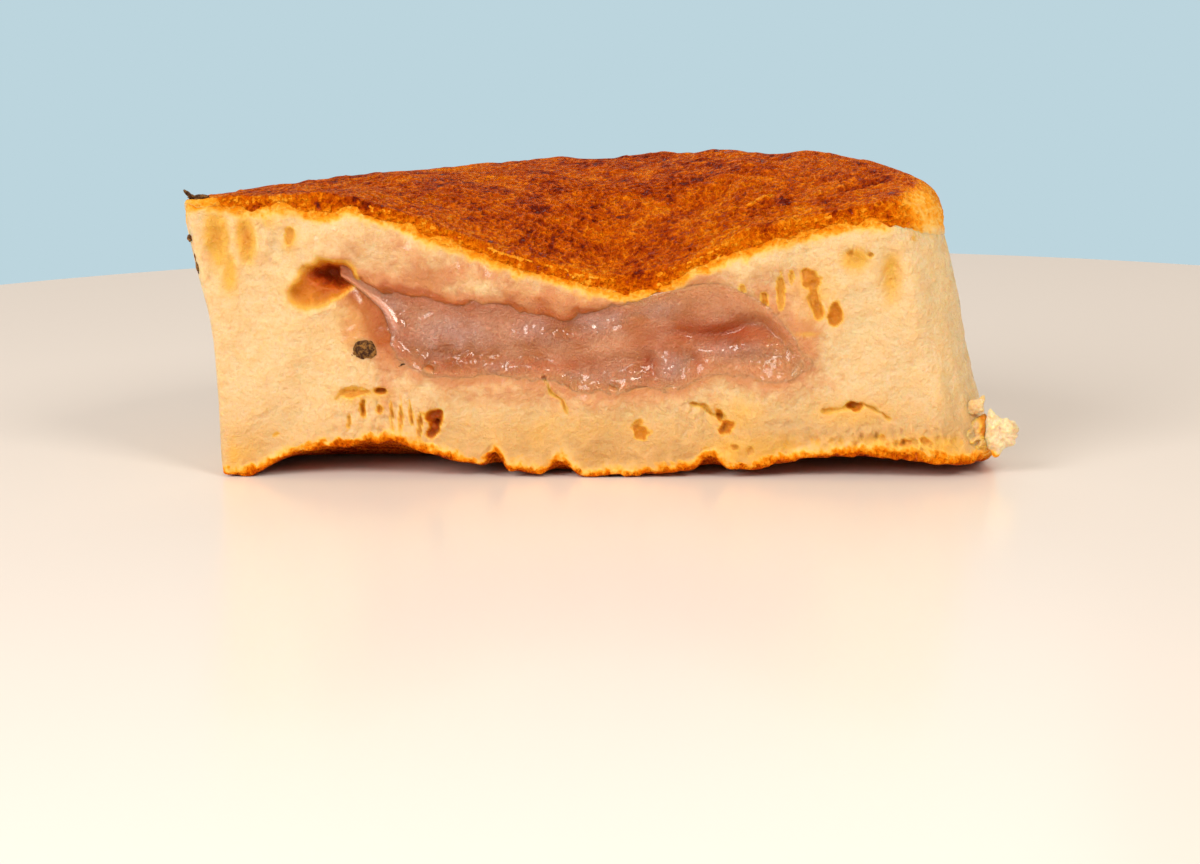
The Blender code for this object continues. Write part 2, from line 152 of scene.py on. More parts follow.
# Swellings of the face, as (x, height, half width, half height, lean in degrees, rise).
SWELLINGS = [
    (-22.5, 25.3, 4.0, 1.9, 12.0, 0.35), (-15.5, 22.5, 5.0, 1.8, 20.0, 0.55),
    (-9.0, 20.6, 4.0, 1.2, 12.0, 0.45), (-2.5, 19.0, 4.2, 1.0, 8.0, 0.55),
    (3.5, 18.6, 3.5, 0.6, -8.0, 0.35), (12.0, 20.9, 4.0, 0.7, -20.0, 0.35),
    (18.0, 22.0, 3.0, 1.2, -15.0, 0.3), (26.0, 23.0, 2.0, 1.2, 0.0, 0.3),
    (20.8, 18.0, 0.6, 2.4, 0.0, 0.25), (22.8, 17.6, 0.9, 2.6, -8.0, 0.35),
    (-8.0, 9.4, 7.0, 0.9, 0.0, 0.3), (4.0, 7.9, 6.0, 0.9, 0.0, 0.3),
    (22.0, 9.6, 4.0, 1.2, 0.0, 0.25), (-16.5, 10.8, 2.4, 0.9, -30.0, 0.25),
    (32.4, 20.8, 1.0, 2.6, 0.0, -1.0), (28.8, 22.6, 1.4, 1.0, 30.0, -0.8),
    (-31.2, 24.4, 0.5, 1.8, 4.0, -0.3), (-24.0, 16.6, 2.4, 1.6, -30.0, -0.4),
    (-37.4, 24.6, 0.7, 3.0, 8.0, -0.6), (-36.1, 22.2, 0.5, 2.4, 6.0, -0.35),
    (-34.0, 25.2, 0.75, 2.4, 2.0, -0.75), (-32.4, 26.2, 0.3, 1.5, 2.0, -0.25),
    (-35.6, 25.4, 0.5, 2.2, 3.0, 0.3), (-32.6, 23.9, 0.8, 1.2, 0.0, 0.35),
    (-36.7, 26.6, 0.4, 0.5, 30.0, 0.35), (-28.2, 25.0, 0.8, 1.2, 20.0, 0.4),
    (-29.0, 20.4, 1.0, 0.9, 0.0, 0.5), (-27.4, 24.0, 1.4, 1.2, 20.0, 0.3)]

# Patches that the paste has soaked, as (x, height, half width, half height, strength).
SOAKED = [
    (-22.0, 24.3, 6.0, 2.6, 0.6), (-13.0, 22.0, 8.0, 2.8, 0.75), (-3.0, 19.6, 7.0, 2.4, 0.9),
    (5.0, 18.8, 5.0, 1.8, 1.0), (12.0, 21.0, 6.0, 1.8, 1.0), (22.6, 14.8, 3.6, 3.6, 0.9),
    (20.5, 18.6, 4.8, 3.6, 0.95), (20.0, 10.4, 8.0, 2.4, 0.6), (0.0, 9.0, 18.0, 2.2, 0.62),
    (-21.5, 15.5, 3.2, 3.2, 0.9)]

# Patches where the sponge is pressed smooth and looks moist, and patches of painted amber shade in
# its grooves, dimples and pits, as for the soaked ones.
MOIST_AND_SHADE = [
    (-2.0, 5.0, 14.0, 2.4, 0.16), (-37.2, 25.0, 1.3, 3.4, 0.62), (-34.0, 25.4, 1.0, 2.7, 0.66),
    (16.5, 6.5, 3.5, 2.2, 0.3), (28.5, 6.8, 5.0, 1.8, 0.24), (-23.5, 16.0, 2.4, 3.4, 0.2),
    (-28.3, 19.2, 1.8, 1.3, 0.5), (-22.5, 8.6, 3.2, 1.0, 0.3), (24.5, 19.0, 2.6, 3.4, 0.25),
    (32.3, 21.0, 1.1, 2.9, 0.5), (28.7, 22.7, 1.5, 1.2, 0.55), (-37.0, 2.5, 4.0, 2.5, 0.3),
    (-36.0, 21.6, 1.0, 2.4, 0.45), (-31.6, 27.2, 1.4, 1.0, 0.5), (-29.4, 25.2, 0.9, 1.8, 0.4),
    (33.5, 3.0, 8.0, 1.6, 0.5), (23.9, 15.1, 1.7, 0.35, 0.3), (18.0, 3.0, 5.0, 1.8, 0.42)]

# The empty end of the pocket: a bent groove along a path of (x, height), and its deep heart as a
# hollow (x, height, half width, half height, depth, lean).
GROOVE = [(-28.2, 19.4), (-27.2, 20.8), (-26.0, 21.5), (-24.2, 21.1), (-25.4, 20.2), (-27.0, 19.6)]
GROOVE_HALF_WIDTH, GROOVE_DEPTH = 1.75, 1.2
HEART = (-25.6, 21.2, 3.0, 1.4, 2.8, 10.0)

# The face's slow waves, its sponge and its pores. It is roughest in a low band over the base.
CUT_WAVE = 0.3
SPONGE_LUMP, SPONGE_GRAIN = 0.15, 0.07
ROUGH_EVEN, ROUGH_LOW, ROUGH_BAND = 0.22, 0.9, 1.6
CRUMB_PORE, CRUMB_PORE_WIDE, CRUMB_PORE_DEPTH = 0.8, 0.42, 0.5

# The wall's lumps, its broad waves and its pits, and how the edge of the base is frayed.
WALL_LUMP, WALL_SWELL, WALL_PIT, WALL_PIT_WIDE = 0.16, 0.3, 1.3, 0.3
BASE_FRAY, BASE_FRAY_REACH = 0.3, 1.5

# How far the batter is baked, from 0 to 1, where it shows besides the crust: in a band under the
# crust's edge, on the wall's shoulder, in a thin skin over the base and on the underside.
BAKE_UNDER_EDGE, BAKE_SHOULDER, BAKE_SHOULDER_CORNER = 0.36, 0.28, 0.16
BAKE_BASE_SKIN, BAKE_BASE_HAZE, BAKE_UNDERSIDE = 0.34, 0.30, 0.72

CUT_STEPS, WALL_STEPS, FADE_STEPS = 400, 168, 8.0
SPONGE_LID, SPONGE_CORNER, SPONGE_WALL, SPONGE_FOOT, SPONGE_BASE = 7, 5, 138, 5, 9
UNDER_CRUST_RIM, UNDER_CRUST = 0.3, 0.85


def to_frame(places):
    """The same places in metres from the frame's origin, less the sketch's middle."""
    return (places - np.array([MIDDLE_X, MIDDLE_Y, 0.0])) * 0.001


def smooth_step(value):
    """Rises from 0 to 1 as three squares less two cubes of the value, and is flat outside."""
    t = np.clip(value, 0.0, 1.0)
    return t * t * (3.0 - 2.0 * t)


def ramp(value, start, length):
    """Rises as a smooth step from 0 at the start to 1 a length further on, or below it where the
    length is negative."""
    return smooth_step((value - start) / length)


def decline(value, start, length):
    """Falls from 1 to 0 where the ramp rises."""
    return 1.0 - ramp(value, start, length)


def bell(value):
    """1 at 0, and less on both sides: the exponential of less the value's square."""
    return np.exp(-value ** 2)


def fading(distance, reach):
    """1 up to a distance of 0, then the exponential of less the distance in parts of a reach."""
    return np.exp(-np.maximum(distance, 0.0) / reach)


def curve_value(x, points):
    """Value at x of the smooth curve through the points, cubic between each two of them."""
    places, values = np.array(points, dtype=float).T
    slopes = np.gradient(values, places)
    left = np.clip(np.searchsorted(places, x) - 1, 0, len(places) - 2)
    span = places[left + 1] - places[left]
    t = np.clip((x - places[left]) / span, 0.0, 1.0)
    start_pull = span * slopes[left] * t * (1.0 - t) ** 2
    end_pull = span * slopes[left + 1] * t * t * (1.0 - t)
    return values[left] + (values[left + 1] - values[left]) * smooth_step(t) + start_pull - end_pull


def scatter(column, row, seed):
    """A repeatable chance number from 0 to 1 for each square: the fraction of a large sine."""
    return np.sin(column * 12.9898 + row * 78.233 + seed * 37.719) * 43758.5453 % 1.0


def mottle(a, b, size, seed, layers=1):
    """Smooth unevenness from about -1 to 1 over (a, b).

    Each corner of a turned square net has a chance value, blended across the squares by smooth
    steps, and each further layer has half the size and half the height.
    """
    turned_a = a * np.cos(seed) - b * np.sin(seed)
    turned_b = a * np.sin(seed) + b * np.cos(seed)
    total = 0.0
    for layer in range(layers):
        across, up = turned_a * 2.0 ** layer / size, turned_b * 2.0 ** layer / size
        column, row = np.floor(across), np.floor(up)
        blend, rise = smooth_step(across - column), smooth_step(up - row)
        low, high = [scatter(column, level, seed + 5.0 * layer) * (1.0 - blend)
                     + scatter(column + 1, level, seed + 5.0 * layer) * blend
                     for level in (row, row + 1)]
        total = total + (2.0 * (low + (high - low) * rise) - 1.0) / 2.0 ** layer
    return total


def cell_gap(a, b, size, seed):
    """How far each place is from the nearest of points thrown one into each square of a net."""
    column, row = np.floor(a / size), np.floor(b / size)
    nearest = np.full(np.shape(a + b), 9.0)
    for step_a in (-1, 0, 1):
        for step_b in (-1, 0, 1):
            away_a = column + step_a + scatter(column + step_a, row + step_b, seed) - a / size
            away_b = row + step_b + scatter(column + step_a, row + step_b, seed + 3.0) - b / size
            nearest = np.minimum(nearest, np.hypot(away_a, away_b))
    return nearest


def oval_gap(x, z, middle_x, middle_z, half_x, half_z, lean=0.0):
    """Distance from an oval's middle in parts of its half sizes: 1 is its edge. It leans right."""
    turn = np.radians(lean)
    along = (x - middle_x) * np.cos(turn) - (z - middle_z) * np.sin(turn)
    up = (x - middle_x) * np.sin(turn) + (z - middle_z) * np.cos(turn)
    return np.hypot(along / half_x, up / half_z)


def ovals(x, z, table, power=2):
    """For each oval of a table, how near each place is to its middle, and the oval's last value.

    An oval is its middle, its half sizes, its lean if it has one, and that value. The nearness
    is 1 in the middle, and outwards the exponential of less a power of the gap.
    """
    for *oval, value in table:
        yield np.exp(-oval_gap(x, z, *oval) ** power), value


def path_gap(x, z, path):
    """Distance to the nearest point of a path of straight stretches."""
    nearest = np.full(np.shape(x), 99.0)
    for (x0, z0), (x1, z1) in zip(path, path[1:]):
        along_x, along_z = x1 - x0, z1 - z0
        share = ((x - x0) * along_x + (z - z0) * along_z) / (along_x ** 2 + along_z ** 2)
        share = np.clip(share, 0.0, 1.0)
        nearest = np.minimum(nearest, np.hypot(x - x0 - share * along_x, z - z0 - share * along_z))
    return nearest


def top_height(x, y):
    """The top: a slightly tilted plane, less a sag that is full at the cut, plus blisters."""
    plane = TOP_MIDDLE + TOP_SLOPE * x
    sag = plane - curve_value(x, TOP_AT_CUT)
    height = plane - sag * np.exp(-(np.maximum(y, 0.0) / SAG_REACH) ** SAG_POWER)
    for middle_x, middle_y, radius, rise in BLISTERS:
        apart = (x - middle_x) ** 2 + (y - middle_y) ** 2
        height = height + rise * np.exp(-2.0 * apart / radius ** 2)
    return height


def base_height(x, y):
    """The base: the arches and notches of the cut edge, which die out into a flat underside."""
    height = curve_value(x, BASE_AT_CUT) * decline(y, 0.0, ARCH_REACH)
    for middle, half_width, rise in NOTCHES:
        across = decline(np.abs(x - middle), 0.0, half_width)
        height = height + rise * across * decline(y, 0.0, NOTCH_REACH)
    return np.maximum(height, 0.0)


def outline(share, level):
    """Plan of the piece at a level: the cut from left to right, then the round wall back."""
    left = curve_value(level * TOP_MIDDLE, LEFT_END)
    right = curve_value(level * TOP_MIDDLE, RIGHT_END)
    along = np.clip(share / CUT_SHARE, 0.0, 1.0)
    angle = np.pi * np.clip((share - CUT_SHARE) / (1.0 - CUT_SHARE), 0.0, 1.0)
    y = DEPTH * np.sin(angle)
    swell = (y / BULGE_DEPTH) * np.exp(1.0 - y / BULGE_DEPTH)
    bulge = np.where(np.cos(angle) > 0.0, BULGE_RIGHT, BULGE_LEFT) * swell * np.cos(angle)
    y = y + WALL_WAVE * np.sin(WALL_WAVE_COUNT * angle + 1.0) * np.sin(angle)
    wall_x = (left + right) / 2.0 + (right - left) / 2.0 * np.cos(angle) + bulge
    on_cut = share <= CUT_SHARE
    return np.where(on_cut, left + (right - left) * along, wall_x), np.where(on_cut, 0.0, y)


def soft_outline(share, level):
    """The same plan with its two corners worn round: each place is the mean of the sharp plan
    over a stretch of outline that is long at the right corner and short at the left one."""
    at_right = bell((share - CUT_SHARE) / CORNER_NEAR_RIGHT)
    at_left = bell(np.minimum(share, 1.0 - share) / CORNER_NEAR_LEFT)
    stretch = CORNER_SOFT_RIGHT * at_right + CORNER_SOFT_LEFT * at_left
    places = [outline((share + part * stretch) % 1.0, level)
              for part in np.linspace(-1.0, 1.0, CORNER_SAMPLES)]
    return sum(x for x, y in places) / CORNER_SAMPLES, sum(y for x, y in places) / CORNER_SAMPLES


def round_of(x, share):
    """Radius of the top's rounding: small along the cut, growing from left to right behind it."""
    soft = TOP_ROUND_LEFT + (TOP_ROUND_RIGHT - TOP_ROUND_LEFT) * ramp(x, -40.0, 70.0)
    cut_round = TOP_ROUND_CUT + (TOP_ROUND_CORNER - TOP_ROUND_CUT) * ramp(x, 27.0, 9.0)
    return cut_round + (soft - cut_round) * ramp(share, CUT_SHARE, 0.06)


def drawn_in(rim_x, rim_y, inset, pull):
    """Places drawn from the rim towards the top's middle: by an inset in millimetres, then by a
    pull in parts of the way that is left."""
    to_x, to_y = LID_CENTRE[0] - rim_x, LID_CENTRE[1] - rim_y
    inward = inset / np.hypot(to_x, to_y)
    reach = inward + (1.0 - inward) * pull
    return rim_x + to_x * reach, rim_y + to_y * reach


def face_relief(x, z):
    """How far each place of the cut face lies behind the knife's plane, and how much painted amber
    shade it takes in its pits, hollows and tears.

    Slow waves, plus a sponge of stretched mottle and pores that are stronger in the rough
    patches, less the swellings, plus a steep-sided pit for each hollow and tear.
    """
    wave = CUT_WAVE * (np.sin(0.33 * x + 0.5) * np.cos(0.29 * z) + 0.7 * np.sin(0.7 * x - 0.4 * z))
    rough = ROUGH_EVEN + ROUGH_LOW * fading(z - curve_value(x, BASE_AT_CUT), ROUGH_BAND)
    for near, strength in ovals(x, z, ROUGH_PATCHES):
        rough = rough + strength * near
    lumps = SPONGE_LUMP * mottle(x, z * 0.6, 1.5, 2.0, 3) + SPONGE_GRAIN * mottle(x, z, 0.6, 4.0)
    pores = np.maximum(0.0, CRUMB_PORE_WIDE - cell_gap(x, z * 0.55, CRUMB_PORE, 6.0))
    pits = pores * np.maximum(rough - 0.35, 0.0)
    push = wave + rough * lumps + CRUMB_PORE_DEPTH * pits
    for near, rise in ovals(x, z, SWELLINGS):
        push = push - rise * near
    # Painted amber shade: in pores low down, in each hollow, darker for a deeper one, and along each
    # tear.
    hollow = 0.8 * smooth_step(pits * 2.4) * ramp(z, 5.0, -2.0)
    ragged = HOLLOW_RAGGED * mottle(x, z, 0.9, 7.0, 2)
    for *oval, depth, lean in HOLLOWS:
        gap = oval_gap(x, z, *oval, lean) + ragged
        push = push + HOLLOW_DEPTH * depth * decline(gap, 0.5, 0.6)
        hollow = np.maximum(hollow, decline(gap, 0.8, 0.4) * min(0.5 + depth / 2.2, 1.4))
    for path, width, depth in TEARS:
        away = path_gap(x, z, path) + 0.5 * ragged
        push = push + HOLLOW_DEPTH * depth * decline(away / width, 0.5, 1.0)
        hollow = np.maximum(hollow, 0.55 * decline(away / width / 1.3, 0.4, 1.0))
    return push, hollow


def wall_relief(around, z):
    """How far each place of the wall stands out, by its millimetres around: mottle less pits."""
    lumps = WALL_LUMP * mottle(around, z, 3.0, 13.0, 3)
    bumps = lumps + WALL_SWELL * mottle(around, z * 0.3, 16.0, 14.0)
    return bumps - WALL_PIT * np.maximum(0.0, WALL_PIT_WIDE - cell_gap(around, z, 2.6, 15.0))


def past_fold(x, z):
    """How far a place lies left of the paste's left edge, measured square to it."""
    return FOLD_SQUARE * (curve_value(z, FOLD_EDGE) - x)


def pocket_inside(x, z):
    """How far a place of the face is inside the paste's outline, from above and from below. It
    is 0 or less outside."""
    ragged = 0.35 * mottle(x, z * 0.4, 1.6, 9.0, 3)
    upper = curve_value(x, POCKET_UPPER) + ragged - z
    lower = z - curve_value(x, POCKET_LOWER) + ragged
    ends = np.minimum(1.6 - past_fold(x, z), (POCKET_UPPER[-1][0] - x) * 0.8)
    return np.minimum(upper, ends), np.minimum(lower, ends)


def pocket_relief(x, z):
    """How deep the pocket and the groove beside it are, and the painted amber shade of the groove.

    The pocket sinks in two steps from the crumb's lip, and left of the paste's edge a shallow
    dell takes its place. The groove follows its path, and its heart is a deeper oval.
    """
    upper, lower = pocket_inside(x, z)
    at_right = ramp(x, 13.0, 5.0)
    lip = ramp(upper + 0.3 * (1.0 - at_right), 0.0, 1.5)
    drop_in = ramp(upper, 0.9, 0.9)
    pocket = POCKET_LIP * lip + (POCKET_PUSH - POCKET_LIP) * drop_in
    pocket = pocket * ramp(lower, 0.0, POCKET_EDGE_LOWER)
    past, below_upper = past_fold(x, z), curve_value(x, POCKET_UPPER) - z
    dell = bell(np.maximum(past, 0.0) / 2.0) * ramp(z, 13.0, 3.0)
    dell = DELL * (dell * ramp(below_upper, -0.3, 1.5)) * ramp(past, -1.6, 0.8)
    pocket = np.maximum(pocket * decline(past, -0.3, 0.8), dell)

    frayed = 0.24 * mottle(x, z, 1.5, 8.0, 3)
    aside = path_gap(x, z, GROOVE) / GROOVE_HALF_WIDTH + 0.5 * frayed
    *oval, depth, lean = HEART
    heart_gap = oval_gap(x, z, *oval, lean) + frayed
    heart, halo = decline(heart_gap, 0.25, 0.8), decline(heart_gap, 0.0, 2.4)
    groove = GROOVE_DEPTH * decline(aside, 0.3, 0.9) + depth * heart
    # Painted amber shade in the groove, darkest in and round its deep heart.
    glow = decline(aside, 0.45, 0.8)
    return pocket, groove, glow * (0.95 + 0.6 * halo) + 0.45 * heart


def skin_faces(rows, steps, start):
    """Faces of a closed skin whose first and last rows are poles: quads between, fans at ends."""
    ring = np.arange(steps)
    after = (ring + 1) % steps
    first = start + 1 + np.arange(rows - 3)[:, None] * steps
    quads = np.stack([first + ring, first + steps + ring, first + steps + after, first + after], -1)
    last = start + 1 + (rows - 3) * steps
    pole = last + steps
    upper = np.stack([np.full(steps, start), start + 1 + ring, start + 1 + after], -1)
    lower = np.stack([np.full(steps, pole), last + after, last + ring], -1)
    return quads.reshape(-1, 4).tolist() + upper.tolist() + lower.tolist()


def placed(name, data):
    """A new object in the scene from its mesh, light or camera data."""
    added = bpy.data.objects.new(name, data)
    bpy.context.scene.collection.objects.link(added)
    return added


def closed_skin(name, skins, material):
    """One object from closed skins, each a grid of places and the fields kept on its points.

    A grid's rows run from one pole to the other and its steps run round. A field is an array
    of the grid's size, kept as an attribute that the material reads.
    """
    points, faces, kept = [], [], {}
    for places, fields in skins:
        rows, steps = places.shape[:2]
        faces += skin_faces(rows, steps, sum(len(part) for part in points))
        points.append(np.concatenate([places[0, :1], places[1:-1].reshape(-1, 3), places[-1, :1]]))
        for field, values in fields.items():
            values = np.broadcast_to(values, (rows, steps))
            flat = np.concatenate([values[0, :1], values[1:-1].ravel(), values[-1, :1]])
            kept.setdefault(field, []).append(flat)
    mesh = bpy.data.meshes.new(name)
    mesh.from_pydata(to_frame(np.concatenate(points)), [], faces)
    for field, values in kept.items():
        attribute = mesh.attributes.new(field, "FLOAT", "POINT")
        attribute.data.foreach_set("value", np.concatenate(values))
    mesh.shade_smooth()
    mesh.materials.append(material)
    return placed(name, mesh)


class Wire:
    """A socket of a material's nodes. Sums, differences and products of wires add Math nodes."""

    def __init__(self, tree, socket=None):
        self.tree = tree
        self.socket = socket

    def node(self, kind, settings, inputs, output=0):
        """Adds a node: first its settings, then the values or links of its sockets."""
        added = self.tree.nodes.new(kind)
        for name, value in settings.items():
            if name == "stops":
                ramp = added.color_ramp.elements
                while len(ramp) < len(value):
                    ramp.new(0.5)
                for stop, (place, colour) in zip(ramp, value):
                    stop.position = place
                    stop.color = colour
            else:
                setattr(added, name, value)
        for name, value in inputs.items():
            if isinstance(value, Wire):
                self.tree.links.new(value.socket, added.inputs[name])
            else:
                added.inputs[name].default_value = value
        return Wire(self.tree, added.outputs[output] if len(added.outputs) else None)

    def maths(self, operation, first, second):
        return self.node("ShaderNodeMath", {"operation": operation}, {0: first, 1: second})

    def __add__(self, other):
        return self.maths("ADD", self, other)

    def __sub__(self, other):
        return self.maths("SUBTRACT", self, other)

    def __rsub__(self, other):
        return self.maths("SUBTRACT", other, self)

    def __mul__(self, other):
        return self.maths("MULTIPLY", self, other)

    def between(self, low, high, start=0.0, end=1.0):
        """Turns the span from low to high into the span from start to end, and holds past it."""
        spans = {"Value": self, "From Min": low, "From Max": high, "To Min": start, "To Max": end}
        return self.node("ShaderNodeMapRange", {"interpolation_type": "SMOOTHSTEP"}, spans)

    def tint(self, first, second):
        """The first colour where this wire is 0, and the second where it is 1."""
        return self.node("ShaderNodeMix", {"data_type": "RGBA"}, {0: self, 6: first, 7: second}, 2)

    def field(self, name):
        """A number kept on the mesh's points."""
        return self.node("ShaderNodeAttribute", {"attribute_name": name}, {}, 2)

    def millimetres(self, stretch=(1.0, 1.0, 1.0)):
        """Place on the object in millimetres, stretched along each axis."""
        place = self.node("ShaderNodeTexCoord", {}, {}, 3)
        scale = tuple(1000.0 * share for share in stretch)
        return self.node("ShaderNodeVectorMath", {"operation": "MULTIPLY"}, {0: place, 1: scale})

    def part(self, vector, axis):
        """One part of a vector: 0 along X, 1 along Y and 2 along Z."""
        return self.node("ShaderNodeSeparateXYZ", {}, {"Vector": vector}, axis)

    def noise(self, size, detail=2.0, roughness=0.5, stretch=(1.0, 1.0, 1.0)):
        """Cloudy unevenness from 0 to 1 whose patches are about the size given."""
        inputs = {"Vector": self.millimetres(stretch), "Scale": 1.0 / size, "Detail": detail,
                  "Roughness": roughness}
        return self.node("ShaderNodeTexNoise", {}, inputs)

    def cells(self, size, stretch):
        """Distance to the nearest of points scattered about a size apart, in parts of it."""
        inputs = {"Vector": self.millimetres(stretch), "Scale": 1.0 / size}
        return self.node("ShaderNodeTexVoronoi", {}, inputs)

    def bump(self, height, distance):
        """Normal of a surface raised by the height times a distance in metres."""
        inputs = {"Height": height, "Distance": distance, "Strength": 1.0}
        return self.node("ShaderNodeBump", {}, inputs)

    def shader(self, inputs):
        """A surface with these inputs."""
        return self.node("ShaderNodeBsdfPrincipled", {}, inputs)

    def show(self):
        """Makes this shader the material's surface."""
        self.node("ShaderNodeOutputMaterial", {}, {"Surface": self})


def tone(red, green, blue):
    """Linear colour of a screen colour whose parts run from 0 to 255."""
    share = np.array([red, green, blue]) / 255.0
    linear = np.where(share <= 0.04045, share / 12.92, ((share + 0.055) / 1.055) ** 2.4)
    return (*linear.tolist(), 1.0)


def new_finish(name):
    """An empty material, and a wire to start its nodes from."""
    material = bpy.data.materials.new(name)
    material.use_nodes = True
    material.node_tree.nodes.clear()
    return material, Wire(material.node_tree)


# Screen colours of the batter: pale at the left and the right of the cut, darker low down as
# painted shade, and palest where it is freshly torn. Then moist, also as painted amber shade in
# shallow dips, as painted amber shade in a hollow and in the deep groove, as curds and grains,
# soaked by the paste, smeared with it, also as painted shade in creases, and the shades that it
# browns through.
BATTER_LEFT, BATTER_RIGHT = tone(233, 203, 154), tone(230, 202, 154)
BATTER_LOW_SHADE, BATTER_TORN = tone(200, 150, 82), tone(240, 226, 188)
BATTER_MOIST_AND_SHADE, BATTER_HOLLOW_SHADE, BATTER_CAVITY_SHADE = tone(231, 178, 74), tone(210, 128, 6), tone(180, 70, 2)
BATTER_CURD, BATTER_GRAIN = tone(232, 186, 118), tone(224, 174, 108)
SOAKED_TONE, SMEAR_AND_SHADE_TONE = tone(210, 142, 88), tone(182, 94, 28)
BROWNING = [(0.0, tone(234, 196, 140)), (0.12, tone(250, 194, 96)), (0.26, tone(244, 158, 40)),
            (0.40, tone(234, 128, 8)), (0.56, tone(214, 98, 0)), (0.70, tone(184, 72, 0)),
            (0.86, tone(146, 44, 0)), (1.0, tone(104, 22, 0))]

# The relief of the fine grain, in metres.
CRUMB_BUMP = CRUST_BUMP = 0.0003


def batter_finish():
    """Moist sponge and its browned skin: two shaders mixed by how far the batter is baked.

    The sponge lets light into it, and is tinted with painted amber shade in its hollows and grooves,
    with the paste's stain and smear, and with painted shade low down, along the upper lip and in
    creases. The skin takes its colour from the browning ramp, read at the bake field plus patches,
    less its pores.
    """
    material, wire = new_finish("batter")
    bake, amber, stain = wire.field("bake"), wire.field("amber"), wire.field("stain")
    side, height = wire.part(wire.millimetres(), 0), wire.part(wire.millimetres(), 2)
    cloud, grain, curd = wire.noise(7.0, 3.0), wire.noise(0.4, 3.0, 0.65), wire.noise(1.5, 4.0, 0.6)
    sponge = (side.between(-30.0, 20.0) + cloud * 0.5 - 0.25).tint(BATTER_LEFT, BATTER_RIGHT)
    # Painted shade: darker towards the base, more at the right than at the left.
    low = height.between(1.0, 11.0, 1.0, 0.0) * side.between(-30.0, -5.0, 0.48, 0.9)
    torn_free = side.between(38.4, 40.4)
    sponge = (low * (1.0 - torn_free)).tint(sponge, BATTER_LOW_SHADE)
    sponge = (torn_free * 0.8).tint(sponge, BATTER_TORN)
    sponge = curd.between(0.4, 0.65, 0.0, 0.5).tint(sponge, BATTER_CURD)
    sponge = grain.between(0.45, 0.7, 0.0, 0.45).tint(sponge, BATTER_GRAIN)
    # Soaked by the paste, deepened by the painted shade that the stain field carries.
    soak_and_shade = (stain * 1.3 + (curd - 0.5) * 1.3 - 0.18).between(0.0, 1.0)
    sponge = soak_and_shade.tint(sponge, SOAKED_TONE)
    # The smear's darker tone, also painted shade in the pocket's crease, beside the left fold and
    # along the upper lip.
    sponge = stain.between(0.95, 1.6).tint(sponge, SMEAR_AND_SHADE_TONE)
    # The amber field: moist patches, and painted amber shade in dips, hollows, grooves and the
    # cavity, darker the deeper.
    for least, most, colour in [(0.0, 0.45, BATTER_MOIST_AND_SHADE), (0.4, 1.0, BATTER_HOLLOW_SHADE),
                                (0.9, 1.6, BATTER_CAVITY_SHADE)]:
        sponge = amber.between(least, most).tint(sponge, colour)
    wet = (curd + stain * 0.12 - amber * 0.3).between(0.5, 0.68, 0.0, 0.7)
    soft = wire.shader({"Base Color": sponge, "Roughness": grain.between(0.3, 0.7, 0.38, 0.58),
                        "Subsurface Weight": 0.85, "Subsurface Radius": (1.0, 0.55, 0.25),
                        "Subsurface Scale": 0.0010, "Specular IOR Level": 0.35,
                        "Coat Weight": wet, "Coat Roughness": 0.14, "Coat IOR": 1.5,
                        "Normal": wire.bump(grain * 0.5 + curd * 2.4, CRUMB_BUMP)})

    along = (1.0, 0.6, 1.0)
    patches = wire.noise(4.6, 4.0, 0.6).between(0.32, 0.68)
    blots = wire.noise(1.5, 2.0, 0.5, along).between(0.3, 0.7)
    specks = wire.noise(0.42, 2.0, 0.6, along).between(0.3, 0.7)
    pores = wire.cells(0.85, along).between(0.1, 0.6) + wire.cells(0.5, along).between(0.1, 0.6)
    reading = bake + (patches * 1.5 + blots - 1.25) * bake.between(0.2, 0.6, 0.05, 0.17)
    reading = reading + (specks - 0.5) * bake.between(0.2, 0.62, 0.10, 0.26)
    reading = reading + (blots + patches * 0.3).between(1.0, 1.3, 0.0, 0.2) * bake.between(0.45, 0.65)
    reading = reading + (1.0 - pores) * patches.between(0.2, 1.0, 0.02, 0.12)
    brown = wire.node("ShaderNodeValToRGB", {"stops": BROWNING}, {"Fac": reading})
    pitted = (pores * 0.7 - specks) * bake.between(0.15, 0.6, 0.1, 1.0)
    skin = wire.shader({"Base Color": brown, "Roughness": specks.between(0.3, 0.7, 0.38, 0.62),
                        "Subsurface Weight": 0.12, "Subsurface Radius": (1.0, 0.4, 0.15),
                        "Subsurface Scale": 0.0006, "Specular IOR Level": 0.02,
                        "Coat Weight": (blots + specks).between(1.7, 1.95, 0.0, 0.4),
                        "Coat Roughness": 0.22, "Normal": wire.bump(pitted, CRUST_BUMP)})
    browned = (bake + (patches - 0.5) * 0.1).between(0.06, 0.24)
    wire.node("ShaderNodeMixShader", {}, {0: browned, 1: soft, 2: skin}).show()
    return material


def profile(*stretches):
    """Columns of values down a skin's rows. Each stretch of rows has a value for each column: a
    number that holds for all its rows, or an array with one for each."""
    blocks = [np.stack(np.broadcast_arrays(*stretch)) for stretch in stretches]
    return np.concatenate(blocks, axis=1)[:, :, None]


def quarter_turn(steps):
    """Angles from nothing to a right angle."""
    return np.linspace(0.0, np.pi / 2.0, steps + 1)


